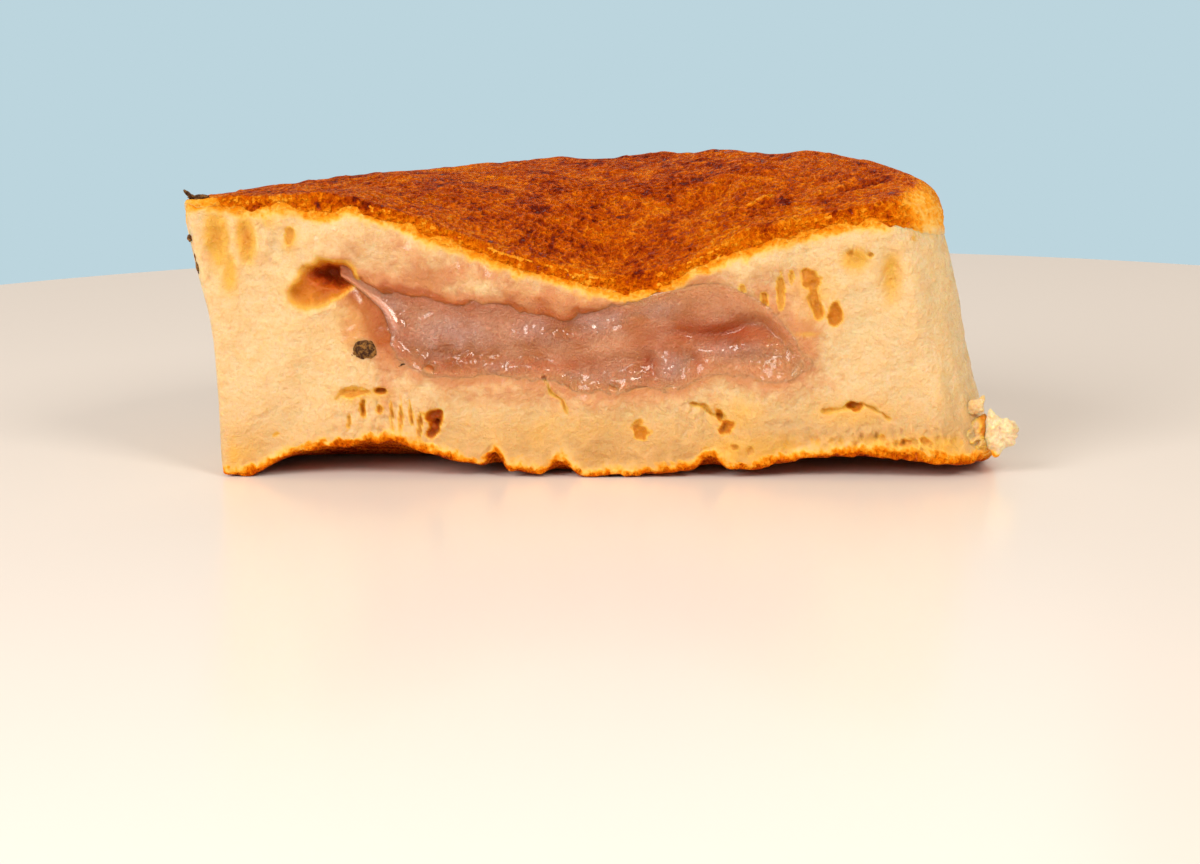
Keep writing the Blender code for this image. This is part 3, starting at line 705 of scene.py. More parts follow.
def sponge_profile():
    """Rows from the top's centre over the rim and the wall to the base's centre.

    Each row holds its pull to the centre, its inset in top and in base roundings, its drop in
    top roundings, its rise in base roundings, and its level from 1 at the top to 0.
    """
    lid = np.arange(SPONGE_LID) / SPONGE_LID
    corner, foot = quarter_turn(SPONGE_CORNER), quarter_turn(SPONGE_FOOT)
    wall = np.linspace(1.0, 0.0, SPONGE_WALL + 1)[1:-1]
    base = np.arange(1, SPONGE_BASE + 1) / SPONGE_BASE
    return profile((1.0 - lid ** 0.8, 1.0, 0.0, 0.0, 0.0, 1.0),
                   (0.0, 1.0 - np.sin(corner), 0.0, 1.0 - np.cos(corner), 0.0, 1.0),
                   (0.0, 0.0, 0.0, 1.0, 1.0, wall),
                   (0.0, 0.0, 1.0 - np.cos(foot), 0.0, 1.0 - np.sin(foot), 0.0),
                   (base ** 1.3, 0.0, 1.0, 0.0, 0.0, 0.0))


def shares_round(cut_steps, wall_steps):
    """Shares round the outline: the cut's steps, then the wall's."""
    cut = np.arange(cut_steps) / cut_steps * CUT_SHARE
    wall = CUT_SHARE + np.arange(wall_steps) / wall_steps * (1.0 - CUT_SHARE)
    return np.concatenate([cut, wall])[None, :]


def crumb_bake(x, y, z, share, high, base_inset):
    """How far the crumb is baked: the most of a band under the crust's edge, the wall's shoulder,
    a ragged skin with a haze over the base, and the underside."""
    on_cut, around = share <= CUT_SHARE, share * OUTLINE_LENGTH
    edge = curve_value(x, CRUST_EDGE) + 0.3 * mottle(x, z, 0.8, 16.0, 2)
    under_edge = BAKE_UNDER_EDGE * np.exp(-(np.maximum(edge - z, 0.0) / 0.9) ** 1.3)
    under_edge = under_edge * decline(x, 31.0, 2.5)
    above = z - base_height(x, y)
    thick = 0.9 + 0.3 * mottle(around, 0.0, 6.0, 17.0, 2) + 0.5 * ramp(x, 26.0, 6.0)
    skin_edge = above + 0.5 * mottle(around, z, 0.7, 18.0, 2) - 0.1
    haze = fading(above + 0.4 * mottle(around, z, 1.4, 19.0, 2), 1.4)
    base_skin = BAKE_BASE_SKIN * decline(skin_edge, 0.0, thick) + BAKE_BASE_HAZE * haze
    shoulder = BAKE_SHOULDER - BAKE_SHOULDER_CORNER * bell((share - CUT_SHARE) / CORNER_PALE)
    shoulder = shoulder * fading(high - z, 5.0) * ramp(share - CUT_SHARE, -0.03, 0.05)
    shoulder = shoulder * (1.0 - on_cut * ramp(x, 30.0, -4.0))
    underside = BAKE_UNDERSIDE * smooth_step(base_inset * 2.0 - 0.4)
    return np.maximum(np.maximum(under_edge * on_cut, shoulder), np.maximum(base_skin, underside))


def crumb_stain_and_shade(x, z, pocket):
    """How far the paste stains the face, with painted shade, and how thickly it is smeared there.

    The stain fades out from the pocket and grows in the soaked patches. A painted shade is added
    along the upper lip's lower edge, and random patches of painted crease shade deepen or lighten
    it. The smear lies in the pocket, where it also paints the shade of its crease, and on the
    crumb beside the left fold, where it paints the shade of the dell.
    """
    upper, lower = pocket_inside(x, z)
    stain = fading(-np.minimum(upper, lower) - 0.2, 1.5)
    for near, strength in ovals(x, z, SOAKED, 3):
        stain = np.maximum(stain, strength * near)
    # Painted shade along the lower edge of the upper lip, added to the stain.
    lip_shade = bell(upper / 1.2) * ramp(x, -23.0, 3.0) * ramp(x, 6.0, -6.0)
    # Random patches of painted crease shade deepen or lighten the stain on the upper part.
    crease_shade = smooth_step(0.45 + 0.7 * mottle(x, z * 1.3, 3.0, 61.0, 2))
    crease_shading = 1.0 + (0.7 * crease_shade - 0.3) * ramp(z, 16.0, 2.0)
    stain = (stain + 0.45 * lip_shade) * crease_shading * (1.0 - 0.6 * ramp(x, -24.0, -3.0))
    past, below_upper = past_fold(x, z), curve_value(x, POCKET_UPPER) - z
    # Beside the left fold the smear also paints the shade of the dell there.
    beside = bell(np.maximum(past, 0.0) / 2.2) * ramp(z, 13.5, 2.5)
    beside = 1.35 * (beside * ramp(past, -0.8, 0.8)) * ramp(below_upper, -0.2, 0.8)
    return stain, np.maximum(ramp(pocket, 0.1, 0.9) * (past < 0.0), beside)


def sponge_skin():
    """Places and fields of the crumb: the solid's form with the relief of its face and wall."""
    pull, inset, base_inset, drop, rise, level = sponge_profile()
    share = shares_round(CUT_STEPS, WALL_STEPS)
    rim_x, rim_y = soft_outline(share, level)
    on_cut = (share <= CUT_SHARE) * 1.0
    tight = RIM_TIGHT + RIM_LOOSER * ramp(rim_x, 26.0, 9.0)
    top_round = round_of(rim_x, share)
    top_round = np.where(on_cut > 0.0, np.minimum(top_round, tight), top_round)
    base_round = np.where(on_cut > 0.0, BASE_ROUND_CUT, BASE_ROUND)
    x, y = drawn_in(rim_x, rim_y, inset * top_round + base_inset * base_round, pull)
    frayed = BASE_FRAY * mottle(x, y * 2.0, 1.4, 11.0, 2) * np.exp(-y / BASE_FRAY_REACH)
    low = np.maximum(base_height(x, y) + frayed, 0.0) + rise * base_round
    tucked = UNDER_CRUST_RIM + (UNDER_CRUST - UNDER_CRUST_RIM) * smooth_step(pull * 8.0)
    high = top_height(x, y) - drop * top_round - tucked
    z = low + (high - low) * level

    push, hollow = face_relief(x, z)
    pocket, groove, groove_shade = pocket_relief(x, z)
    step = np.arange(share.size)[None, :]
    inside = ramp(step, 0.0, FADE_STEPS) * ramp(step, CUT_STEPS, -FADE_STEPS)
    face = on_cut * (inside * (1.0 - pull) ** 2) * ramp(z, low, 0.8) * (1.0 - 0.6 * inset)
    y = y + face * (push + np.maximum(pocket, groove))

    on_wall = (1.0 - on_cut) * (1.0 - pull) * ramp(share, CUT_SHARE, WALL_FADE)
    on_wall = on_wall * ramp(share, 1.0, -WALL_FADE)
    to_x, to_y = LID_CENTRE[0] - rim_x, LID_CENTRE[1] - rim_y
    sway = on_wall * wall_relief(share * OUTLINE_LENGTH, z) / np.hypot(to_x, to_y)
    x, y = x - to_x * sway, y - to_y * sway

    # Painted amber shade in the pits, hollows, tears and groove, and the moist patches with their
    # painted shade in grooves and dimples.
    amber = np.maximum(hollow, groove_shade)
    blotchy = 1.0 + 0.35 * mottle(x, z, 2.4, 20.0, 3)
    for near, strength in ovals(x, z, MOIST_AND_SHADE):
        amber = np.maximum(amber, strength * near * blotchy)
    stain, smear_and_shade = crumb_stain_and_shade(x, z, pocket)
    fields = {"bake": crumb_bake(x, y, z, share, high, base_inset), "amber": amber * face,
              "stain": stain * on_cut + smear_and_shade * face}
    return np.stack([x, y, z], -1), fields


batter = batter_finish()
sponge = closed_skin("sponge", [sponge_skin()], batter)
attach(sponge, "root")
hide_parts("dough")

# --------------------------------------------------------------------------------------------
# The top crust: the thin brown skin that baked against the griddle. It wraps over the rim, fades
# down the wall, and at the cut it curls out a little over the crumb as a ragged orange band. It
# is the same batter, so it shares the crumb's finish.
# --------------------------------------------------------------------------------------------
CRUST_STEPS = (390, 190)
CRUST_LID, CRUST_CORNER, CRUST_SKIRT, CRUST_UNDER = 122, 14, 12, 7
SKIRT_WALL, SKIRT_LEAST = 2.2, 0.5
CURL, SKIRT_DIVE = 0.10, 0.5
CRUST_THICK, CRUST_INNER_INSET = 1.4, 1.2

# Raggedness of the cut's edge, coarse and fine, and of the skirt's; the grain and the pits of the
# band; and the share of the outline over which the band joins the face at both ends.
EDGE_RAGGED, EDGE_FRAYED, SKIRT_RAGGED = 0.45, 0.2, 0.6
BAND_GRAIN, BAND_PIT, BAND_SHARE = 0.10, 0.12, 0.0094

# Lumps of the top, as (height, size, seed, layers), the higher ones at its back right, and its
# pores. Scars are (path of (x, y), width, depth, darkening): the darkening is painted shade along
# the sunk scars, and lightens the raised one.
LUMPS = [(0.20, 5.0, 21.0, 1), (0.16, 2.4, 22.0, 1), (0.09, 1.1, 23.0, 2)]
BACK_LUMP, BACK_LUMP_SIZE = 0.45, 4.2
PORE_SIZE, PORE_DEPTH = 0.9, 0.28
SCARS = [
    ([(27.5, 6.8), (29.5, 7.2), (31.5, 8.6)], 0.7, 0.35, 0.22),
    ([(8.5, 8.5), (12.0, 12.0), (17.0, 16.5)], 1.4, 0.25, 0.10),
    ([(17.5, 8.0), (19.0, 8.8), (20.0, 9.0)], 0.3, -0.15, -0.35)]

# How far the crust is baked: on top, less down the cut's band and down the wall, and how much
# paler it is at the left corner and at the right end.
BAKE_TOP = 0.70
BAKE_CORNER_LOSS, BAKE_END_LOSS = 0.34, 0.67


def crust_relief(x, y):
    """Rise of the top's crust: lumps of several sizes, less fine pores, less the scars; and the
    scars' painted shade.
    """
    lumps = sum(height * mottle(x, y, size, seed, layers) for height, size, seed, layers in LUMPS)
    higher = BACK_LUMP * mottle(x, y, BACK_LUMP_SIZE, 24.0)
    lumps = lumps + higher * ramp(x, 2.0, 16.0) * ramp(y, 12.0, 12.0)
    pores = PORE_DEPTH * decline(cell_gap(x, y, PORE_SIZE, 25.0), 0.0, 0.5)
    rise = lumps - pores * (0.35 + 0.65 * smooth_step(0.5 + mottle(x, y, 6.0, 26.0)))
    scar_shade = 0.0
    for path, width, depth, shade in SCARS:
        near = bell(path_gap(x, y, path) / width)
        rise = rise - depth * near
        scar_shade = scar_shade + shade * near
    return rise, scar_shade


def crust_bake(x, y, z, side_x, share, fall, lean, scar_shade):
    """How far the crust is baked: most on top, less as it leans over and falls, a little less
    next to the cut, mottled, and much less at the left corner and over the right end."""
    to_right = ramp(side_x, 31.0, 5.0)
    cut_bake = BAKE_TOP - 0.12 * lean - (0.32 + 0.14 * to_right) * fall ** 3 - 0.16 * to_right * lean
    at_corner = bell((share - CUT_SHARE) / CORNER_PALE)
    wall_bake = BAKE_TOP - (0.22 + 0.12 * at_corner) * lean - 0.20 * fall ** 0.7
    behind = np.maximum(y, 0.0)
    bake = np.where(share <= CUT_SHARE, cut_bake, wall_bake)
    # The scars' painted shade: darker along the sunk scars, lighter along the raised one.
    bake = bake - 0.08 * (fading(y, 2.5) * (1.0 - lean)) + scar_shade * (1.0 - lean)
    bake = bake - BAKE_CORNER_LOSS * ramp(x, -35.6, -2.4) * bell(behind / 2.5)
    bake = bake + 0.07 * mottle(x, y, 7.0, 31.0, 3) * (1.0 - fall)
    at_end = ramp(x - 32.4 + mottle(x, y + z, 2.0, 33.0, 3), 0.0, 3.4)
    loss = BAKE_END_LOSS - 0.32 * lean * (1.0 - fall)
    return bake * (1.0 - loss * at_end * bell(behind / 13.0))


def crust_profile():
    """Rows from the top's centre over the rim, down the skirt, and back inside to the centre.

    Each row holds its pull to the centre, its inset and its drop in roundings, its fall down the
    skirt, how far it leans over, and whether it is on the inner side.
    """
    lid = np.arange(CRUST_LID) / CRUST_LID
    corner = quarter_turn(CRUST_CORNER)
    down = np.arange(1, CRUST_SKIRT + 1) / CRUST_SKIRT
    under = np.arange(CRUST_UNDER) / (CRUST_UNDER - 1)
    return profile((1.0 - lid ** 0.9, 1.0, 0.0, 0.0, 0.0, 0.0),
                   (0.0, 1.0 - np.sin(corner), 1.0 - np.cos(corner), 0.0, np.sin(corner), 0.0),
                   (0.0, 0.0, 1.0, down, 1.0, 0.0),
                   (under, 1.0, 0.0, 0.0, 0.0, 1.0))


def crust_skin():
    """Places and fields of the crust: its lid, its rounded rim, its skirt and its inner side."""
    share = shares_round(*CRUST_STEPS)
    around = share * OUTLINE_LENGTH
    rim_x, rim_y = soft_outline(share, np.ones((1, 1)))
    on_cut = share <= CUT_SHARE
    ragged = EDGE_RAGGED * mottle(rim_x, 0.0, 1.6, 27.0, 3)
    ragged = ragged + EDGE_FRAYED * mottle(rim_x, 0.0, 0.6, 32.0)
    to_edge = top_height(rim_x, 0.0) - curve_value(rim_x, CRUST_EDGE) - ragged
    corner_blend = ramp(share - CUT_SHARE, -0.01, 0.07) * ramp(share, 1.0, -0.012)
    top_round = round_of(rim_x, share)
    to_wall = top_round + SKIRT_WALL + SKIRT_RAGGED * mottle(around, 0.0, 2.5, 28.0, 3)
    whole = np.maximum(to_edge, SKIRT_LEAST) * (1.0 - corner_blend) + to_wall * corner_blend
    top_round = np.minimum(top_round, 0.6 * whole)
    skirt = whole - top_round

    pull, inset, drop, fall, lean, inner = crust_profile()
    high = top_height(rim_x, rim_y) - top_round
    low = base_height(rim_x, rim_y) + BASE_ROUND
    side_x, side_y = soft_outline(share, 1.0 - fall * skirt / (high - low))
    x, y = drawn_in(side_x, side_y, inset * (top_round + CRUST_INNER_INSET * inner), pull)
    z = top_height(x, y) - drop * top_round - fall * skirt - inner * CRUST_THICK

    along_x, along_y = np.gradient(side_x, axis=1), np.gradient(side_y, axis=1)
    length = np.hypot(along_x, along_y)
    out_x, out_y = along_y / length, -along_x / length
    rise, scar_shade = crust_relief(x, y)
    pits = BAND_PIT * decline(cell_gap(around, z, 0.7, 30.0), 0.0, 0.45)
    fine = BAND_GRAIN * mottle(around, z, 0.9, 29.0, 2) - pits
    proud_cut = 0.05 + CURL * np.sin(np.pi * np.minimum(lean * 0.35 + fall * 0.65, 1.0))
    proud_wall = 0.12 - 0.2 * fall + wall_relief(around, z) * ramp(share, CUT_SHARE, WALL_FADE)
    inside = ramp(share, 0.0, BAND_SHARE) * ramp(share, CUT_SHARE, -BAND_SHARE)
    proud_cut = proud_cut - face_relief(x, z)[0] * lean * inside
    proud = np.where(on_cut, proud_cut, proud_wall) + fine * lean
    gentle = 0.45 * ramp(side_x, 31.0, 3.0)
    dive = SKIRT_DIVE * (1.0 + gentle)
    proud = proud - dive * ramp(fall - 0.6 + gentle, 0.0, 0.4 + gentle)
    rise = np.maximum(rise, -0.1 - 0.6 * smooth_step(pull * 10.0 - 0.2))
    shown = 1.0 - inner
    x, y = x + out_x * proud * lean * shown, y + out_y * proud * lean * shown
    z = z + rise * (1.0 - lean) * shown
    bake = crust_bake(x, y, z, side_x, share, fall, lean, scar_shade)
    return np.stack([x, y, z], -1), {"bake": bake, "amber": 0.0, "stain": 0.0}


crust = closed_skin("crust", [crust_skin()], batter)
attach(crust, "root")
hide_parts("dough")

# --------------------------------------------------------------------------------------------
# The paste: smooth ground peanut, wet and sticky, spread in the batter before it closed over.
# The knife pulled it into long folds, and it has sunk back from the cut. It takes the place of
# the solid filling, and its edge runs under the crumb's lip.
# --------------------------------------------------------------------------------------------
PASTE_LEFT, PASTE_RIGHT, PASTE_DEPTH, PASTE_HEIGHT_BEHIND = -26.0, 23.6, 26.0, 15.5
PASTE_GROW, PASTE_RECESS, PASTE_RECESS_LESS = 0.9, 1.2, 0.4
PASTE_ROWS, PASTE_FRONT, PASTE_BACK = 380, 110, 26

# Folds of the front, as (x, height, half length, half height, lean in degrees, rise), and how
# far they are warped along and up.
FOLDS = [
    (-3.5, 14.7, 11.0, 1.8, 3.0, 1.1), (-3.0, 10.9, 10.0, 0.8, 0.0, 0.5),
    (1.0, 10.6, 3.8, 0.6, 0.0, 0.35), (0.0, 17.5, 8.0, 0.7, 3.0, -0.8),
    (12.5, 17.8, 6.5, 1.7, -8.0, 0.7), (15.4, 15.2, 5.2, 1.0, -6.0, -1.2),
    (17.5, 13.6, 4.5, 0.9, -3.0, 0.7), (9.8, 11.0, 1.8, 1.5, 0.0, 0.9),
    (7.4, 12.2, 0.8, 1.4, -20.0, -0.6), (12.4, 11.9, 0.7, 1.2, 15.0, -0.5),
    (4.0, 13.6, 3.0, 0.9, 5.0, 0.3), (-11.0, 16.9, 3.5, 0.8, -4.0, 0.4),
    (22.5, 12.6, 2.5, 0.9, 0.0, 0.7), (-12.5, 13.6, 1.2, 2.0, 30.0, -0.25),
    (-16.5, 14.6, 2.2, 1.8, 40.0, 0.4)]
WARP_ALONG, WARP_UP, PASTE_UNEVEN = 1.1, 0.55, 0.18

# Patches where the paste is beaded with small wet lumps, which also take a painted highlight, as
# (x, height, half sizes, rise).
BEADS = [
    (-3.6, 15.4, 3.2, 1.2, 0.5), (1.4, 16.2, 2.8, 1.2, 0.5), (8.4, 17.9, 2.4, 1.1, 0.45),
    (9.9, 11.5, 1.5, 1.6, 0.7), (1.2, 10.3, 3.0, 0.9, 0.6), (-13.0, 14.5, 4.5, 2.6, 0.3),
    (16.5, 13.6, 3.6, 0.8, 0.4), (20.6, 12.9, 2.2, 1.0, 0.5), (-19.5, 16.6, 1.8, 2.2, 0.5),
    (-8.0, 11.6, 3.0, 0.7, 0.3), (5.6, 10.4, 1.6, 1.0, 0.5), (4.2, 16.7, 1.2, 0.7, 0.5)]
BEAD_SIZE = 0.75

# Patches where it is thin and amber, and patches of painted amber shade in its grooves and pits and
# under the lip, as (x, height, half sizes, strength).
PASTE_AMBER_AND_SHADE = [
    (15.0, 15.2, 6.8, 1.3, 0.85), (9.0, 14.2, 3.0, 2.4, 0.35), (-2.0, 11.8, 9.0, 0.8, 0.4),
    (-13.0, 12.0, 4.0, 1.2, 0.35), (-15.0, 18.9, 4.5, 0.8, 0.5), (7.6, 11.8, 1.0, 1.8, 0.6),
    (0.0, 17.4, 5.5, 0.6, 0.5), (12.6, 12.2, 0.8, 1.5, 0.5), (-18.3, 14.0, 1.4, 2.2, 0.35)]

# The left fold's crest, as (height, depth behind the cut), and how it falls off on both sides.
FOLD_CREST = [
    (12.0, 0.2), (14.5, 0.1), (16.0, 0.3), (17.4, 0.72), (18.5, 0.88), (19.9, 0.98), (20.9, 1.0),
    (21.6, 0.9)]
FOLD_WIDTH, FOLD_FACET, FOLD_SLOPE, FOLD_SHARPNESS = 1.2, 0.4, 0.57, 1.8

# How deep the paste dives left of that fold, and at its tip.
PASTE_DIVE, TIP_DIVE = 3.6, 4.5


def paste_front(x, z):
    """Depth of the paste's front behind the cut: its recess, less folds, beads and mottle.

    At its edges it comes up flush with the crumb's face and then dives under it. At its left end
    it rises to the sharp crest of the fold, and left of the fold it falls away.
    """
    at_right = ramp(x, 2.0, 8.0)
    depth = PASTE_RECESS - PASTE_RECESS_LESS * at_right
    warp_x = x + WARP_ALONG * mottle(x, z, 5.0, 46.0)
    warp_z = z + WARP_UP * mottle(x, z, 4.0, 47.0, 2)
    for near, rise in ovals(warp_x, warp_z, FOLDS):
        depth = depth - rise * near
    depth = depth - PASTE_UNEVEN * mottle(x, z * 1.3, 3.2, 41.0, 3)
    lumps = cell_gap(x, z, BEAD_SIZE, 42.0)
    for near, rise in ovals(x, z, BEADS):
        depth = depth - near * (0.3 * rise - rise * lumps * 0.5)
    above = z - curve_value(x, POCKET_LOWER) + 0.8 * mottle(x, z, 1.9, 44.0, 3)
    under_lip = curve_value(x, POCKET_UPPER) - z + 0.4 * mottle(x, z, 1.7, 48.0, 2)
    step_in = 0.45 * (1.0 - at_right) * ramp(above, under_lip, 2.0)
    above = np.minimum(above, under_lip + 9.0 * decline(x, -21.5, 3.0))
    above = np.minimum(above, 0.8 * (PASTE_RIGHT - x) + 0.5 * mottle(x, z, 1.7, 49.0, 2))
    flush = face_relief(x, z)[0] - 0.05 + step_in + 0.5 * ramp(above, -0.1, -1.2)
    depth = flush + (depth - flush) * ramp(above, 0.1, 2.2)

    past, crest = past_fold(x, z), ramp(z, 14.5, 2.0)
    depth = depth + PASTE_DIVE * ramp(past, 0.2, 3.2 - 1.6 * crest)
    to_tip = ramp(z, 17.0, 4.0)
    facet = FOLD_FACET * (1.0 - 0.8 * to_tip)
    right, left = np.maximum(-past - facet, 0.0), np.maximum(past, 0.0)
    fold = curve_value(z, FOLD_CREST) + FOLD_SLOPE * np.clip(-past, 0.0, facet)
    fold = fold + FOLD_SHARPNESS * (1.0 + to_tip) * right ** 2 + FOLD_SHARPNESS * left ** 2
    near_fold = crest * ramp(np.abs(past), FOLD_WIDTH, -0.6)
    depth = depth + (np.minimum(depth, fold) - depth) * near_fold
    return depth + TIP_DIVE * ramp(x, -24.3, -1.3)


def paste_skin():
    """Places and fields of the paste, whose poles are its two ends and whose front is the cut.

    Round each section the steps run over the back as half an oval and up the front in even
    heights. The back reaches deep into the crumb and draws together there.
    """
    reach = np.linspace(-1.0, 1.0, PASTE_ROWS)[:, None]
    turn = np.arange(PASTE_BACK) / PASTE_BACK * np.pi
    climb = np.arange(PASTE_FRONT) / PASTE_FRONT * 2.0 - 1.0
    high = np.concatenate([np.cos(turn), climb])[None, :]
    deep = np.concatenate([np.sin(turn), np.zeros(PASTE_FRONT)])[None, :]
    half_length = (PASTE_RIGHT - PASTE_LEFT) / 2.0 + PASTE_GROW
    x = (PASTE_LEFT + PASTE_RIGHT) / 2.0 + half_length * reach + 0.0 * high
    upper, lower = curve_value(x, POCKET_UPPER), curve_value(x, POCKET_LOWER)
    circle = np.sqrt(np.maximum(1.0 - reach ** 2, 0.0))
    middle = (upper + lower) / 2.0 * (1.0 - deep) + PASTE_HEIGHT_BEHIND * deep
    z = middle + ((upper - lower) / 2.0 + PASTE_GROW) * np.minimum(circle * 2.6, 1.0) * high
    edge = ramp(np.abs(high), 0.86, 0.14) * 0.5
    y = paste_front(x, z) + edge + (PASTE_DEPTH - PASTE_RECESS) * deep * circle

    amber, beads = 0.0, 0.0
    for near, strength in ovals(x, z, PASTE_AMBER_AND_SHADE):
        amber = np.maximum(amber, strength * near)
    for near, _ in ovals(x, z, BEADS):
        beads = np.maximum(beads, near)
    below, over = z - lower + 0.5 * mottle(x, z, 1.4, 45.0, 2), upper - z
    # Painted shade under the crumb's upper lip.
    amber = np.maximum(amber, 0.4 * fading(over - 0.4, 1.0) * ramp(x, 4.0, -4.0))
    past = past_fold(x, z)
    # Painted shade left of the fold, where the paste dives into the cavity.
    amber = np.maximum(amber, 0.9 * ramp(past, 0.1, 1.2))
    film = bell(past / 0.5) * ramp(z, 15.0, 1.0)
    within = np.minimum(below, over + 9.0 * ramp(x, 6.0, -4.0))
    within = np.minimum(within, 0.8 * (PASTE_RIGHT - x))
    pale = fading(within - 0.2, 1.3) + 0.7 * ramp(x, 16.0, 5.0)
    fields = {"amber": amber, "beads": beads, "film": film, "pale": np.minimum(pale, 1.0)}
    return np.stack([x, y, z], -1), fields


# Screen colours of the paste: shaded and lit, a painted highlight on its beads, and in its grain.
# Where it is pale it takes the soaked crumb's tone, and where it is amber the painted shade of the
# groove.
PASTE_SHADED, PASTE_LIT = tone(186, 110, 52), tone(212, 152, 112)
PASTE_BEAD_HIGHLIGHT, PASTE_GRAIN = tone(214, 160, 140), tone(172, 98, 48)
PASTE_BUMP = 0.00036


def paste_finish():
    """Wet paste: light goes into it, it is amber where it is thin and in painted shade, it has a
    painted highlight on its beads, it is paler where it thins out over the crumb, and it shines."""
    material, wire = new_finish("peanut_paste")
    amber, pale, beads, film = [wire.field(name) for name in ("amber", "pale", "beads", "film")]
    cloud, grain = wire.noise(3.6, 4.0), wire.noise(0.4, 3.0, 0.6)
    colour = cloud.between(0.3, 0.7).tint(PASTE_SHADED, PASTE_LIT)
    # Painted highlight on the beads.
    colour = (beads * cloud.between(0.3, 0.55)).tint(colour, PASTE_BEAD_HIGHLIGHT)
    colour = grain.between(0.4, 0.75, 0.0, 0.3).tint(colour, PASTE_GRAIN)
    colour = pale.between(0.0, 1.0).tint(colour, SOAKED_TONE)
    # Painted amber shade, in the groove's tone.
    colour = amber.tint(colour, BATTER_CAVITY_SHADE)
    sparkle = wire.noise(0.30, 2.0, 0.6).between(0.40, 0.70)
    relief = grain * (beads * 0.6 + 0.6) + sparkle * (beads * 2.0 + 0.3) + wire.noise(1.4, 2.0)
    wet = (film + beads - pale * 0.35).between(0.0, 1.0, 0.5, 1.0)
    wire.shader({"Base Color": colour, "Roughness": grain.between(0.3, 0.7, 0.3, 0.5),
                 "Subsurface Weight": 0.85, "Subsurface Radius": (1.0, 0.5, 0.35),
                 "Subsurface Scale": 0.0010, "Coat Weight": wet, "Coat Roughness": 0.12,
                 "Coat IOR": 1.65, "Normal": wire.bump(relief * (1.0 - film), PASTE_BUMP)}).show()
    return material


paste = closed_skin("peanut_paste", [paste_skin()], paste_finish())
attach(paste, "root")
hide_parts("filling")

# --------------------------------------------------------------------------------------------
# The torn flap: at the right end of the cut a scrap of crumb and base crust hangs out, where the
# piece was pulled from its other half. It is grown together from a few torn lumps.
# --------------------------------------------------------------------------------------------
# Each scrap: its heart (x, y, height), its half thickness, how amber it is, and its torn edge as
# (turn from pointing right in degrees, distance from the heart).
SCRAPS = [
    ((43.6, 2.2, 4.3), 1.0, 0.0,
     [(0.0, 1.85), (16.0, 2.15), (35.0, 2.05), (58.0, 1.7), (80.0, 1.7), (92.0, 1.9), (104.0, 2.3),
      (111.0, 2.9), (122.0, 2.3), (139.0, 1.9), (180.0, 1.6), (220.0, 1.8), (240.0, 2.2),
      (255.0, 2.5), (266.0, 2.3), (280.0, 1.8), (300.0, 1.7), (320.0, 1.85), (340.0, 1.65),
      (360.0, 1.85)]),
    ((41.3, 2.6, 7.0), 0.6, 0.0,
     [(0.0, 0.6), (30.0, 0.8), (61.0, 1.35), (75.0, 1.1), (120.0, 0.9), (180.0, 1.4), (215.0, 1.2),
      (250.0, 0.8), (290.0, 0.6), (330.0, 0.7), (360.0, 0.6)]),
    ((41.0, 3.0, 3.8), 1.4, 1.25,
     [(0.0, 1.7), (30.0, 1.7), (60.0, 2.4), (90.0, 2.1), (130.0, 2.0), (180.0, 2.2), (230.0, 2.4),
      (270.0, 1.8), (310.0, 2.3), (340.0, 1.8), (360.0, 1.7)])]
SCRAP_ROWS, SCRAP_STEPS = 40, 120
SCRAP_POINT = 0.1
FLAKE_COARSE, FLAKE_FINE, FLAKE_SINK = 0.42, 0.28, 0.2
TIP_BAKE = 0.32


def ball_ways(rows, steps):
    """Directions from a middle to every place of a ball's grid of rows and steps."""
    tilt = np.linspace(0.0, np.pi, rows)[:, None]
    turn = np.arange(steps)[None, :] / steps * 2.0 * np.pi
    return np.stack(np.broadcast_arrays(np.sin(tilt) * np.cos(turn), np.sin(tilt) * np.sin(turn),
                                        np.cos(tilt)), -1)


def scrap_skin(heart, half_thick, amber, torn_edge):
    """A torn scrap: a ball with its poles front and back, spread out to the torn edge.

    The way out from the heart is scaled by the edge's distance at that turn, and by a small
    power of itself that points the poles. Folded mottle makes the surface flaky, and the low
    tip is a bit baked.
    """
    way = ball_ways(SCRAP_ROWS, SCRAP_STEPS)
    turn = np.arange(SCRAP_STEPS)[None, :] * (360.0 / SCRAP_STEPS)
    reach = curve_value(turn, torn_edge) * (1.0 + 0.10 * mottle(turn * 0.1, 0.0, 2.2, 55.0, 2))
    spread = np.hypot(way[..., 0], way[..., 1]) ** SCRAP_POINT
    x = heart[0] + reach * way[..., 0] * spread
    z = heart[2] + reach * way[..., 1] * spread
    flakes = FLAKE_COARSE * np.abs(mottle(x, z, 1.5, 51.0)) + FLAKE_FINE * mottle(x, z, 0.6, 52.0, 2)
    flakes = flakes - FLAKE_SINK
    y = heart[1] - way[..., 2] * half_thick * (1.0 + flakes)
    x = x + 0.3 * flakes * way[..., 0]
    tip = decline(z - 2.0 + 0.5 * mottle(x, z, 1.0, 53.0), 0.0, 1.2)
    patchy = amber * smooth_step(0.55 + 0.5 * mottle(x, z, 1.3, 54.0, 2))
    return np.stack([x, y, z], -1), {"bake": TIP_BAKE * tip, "amber": patchy, "stain": 0.0}


flap = closed_skin("torn_flap", [scrap_skin(*scrap) for scrap in SCRAPS], batter)
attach(flap, "root")
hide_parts("dough")

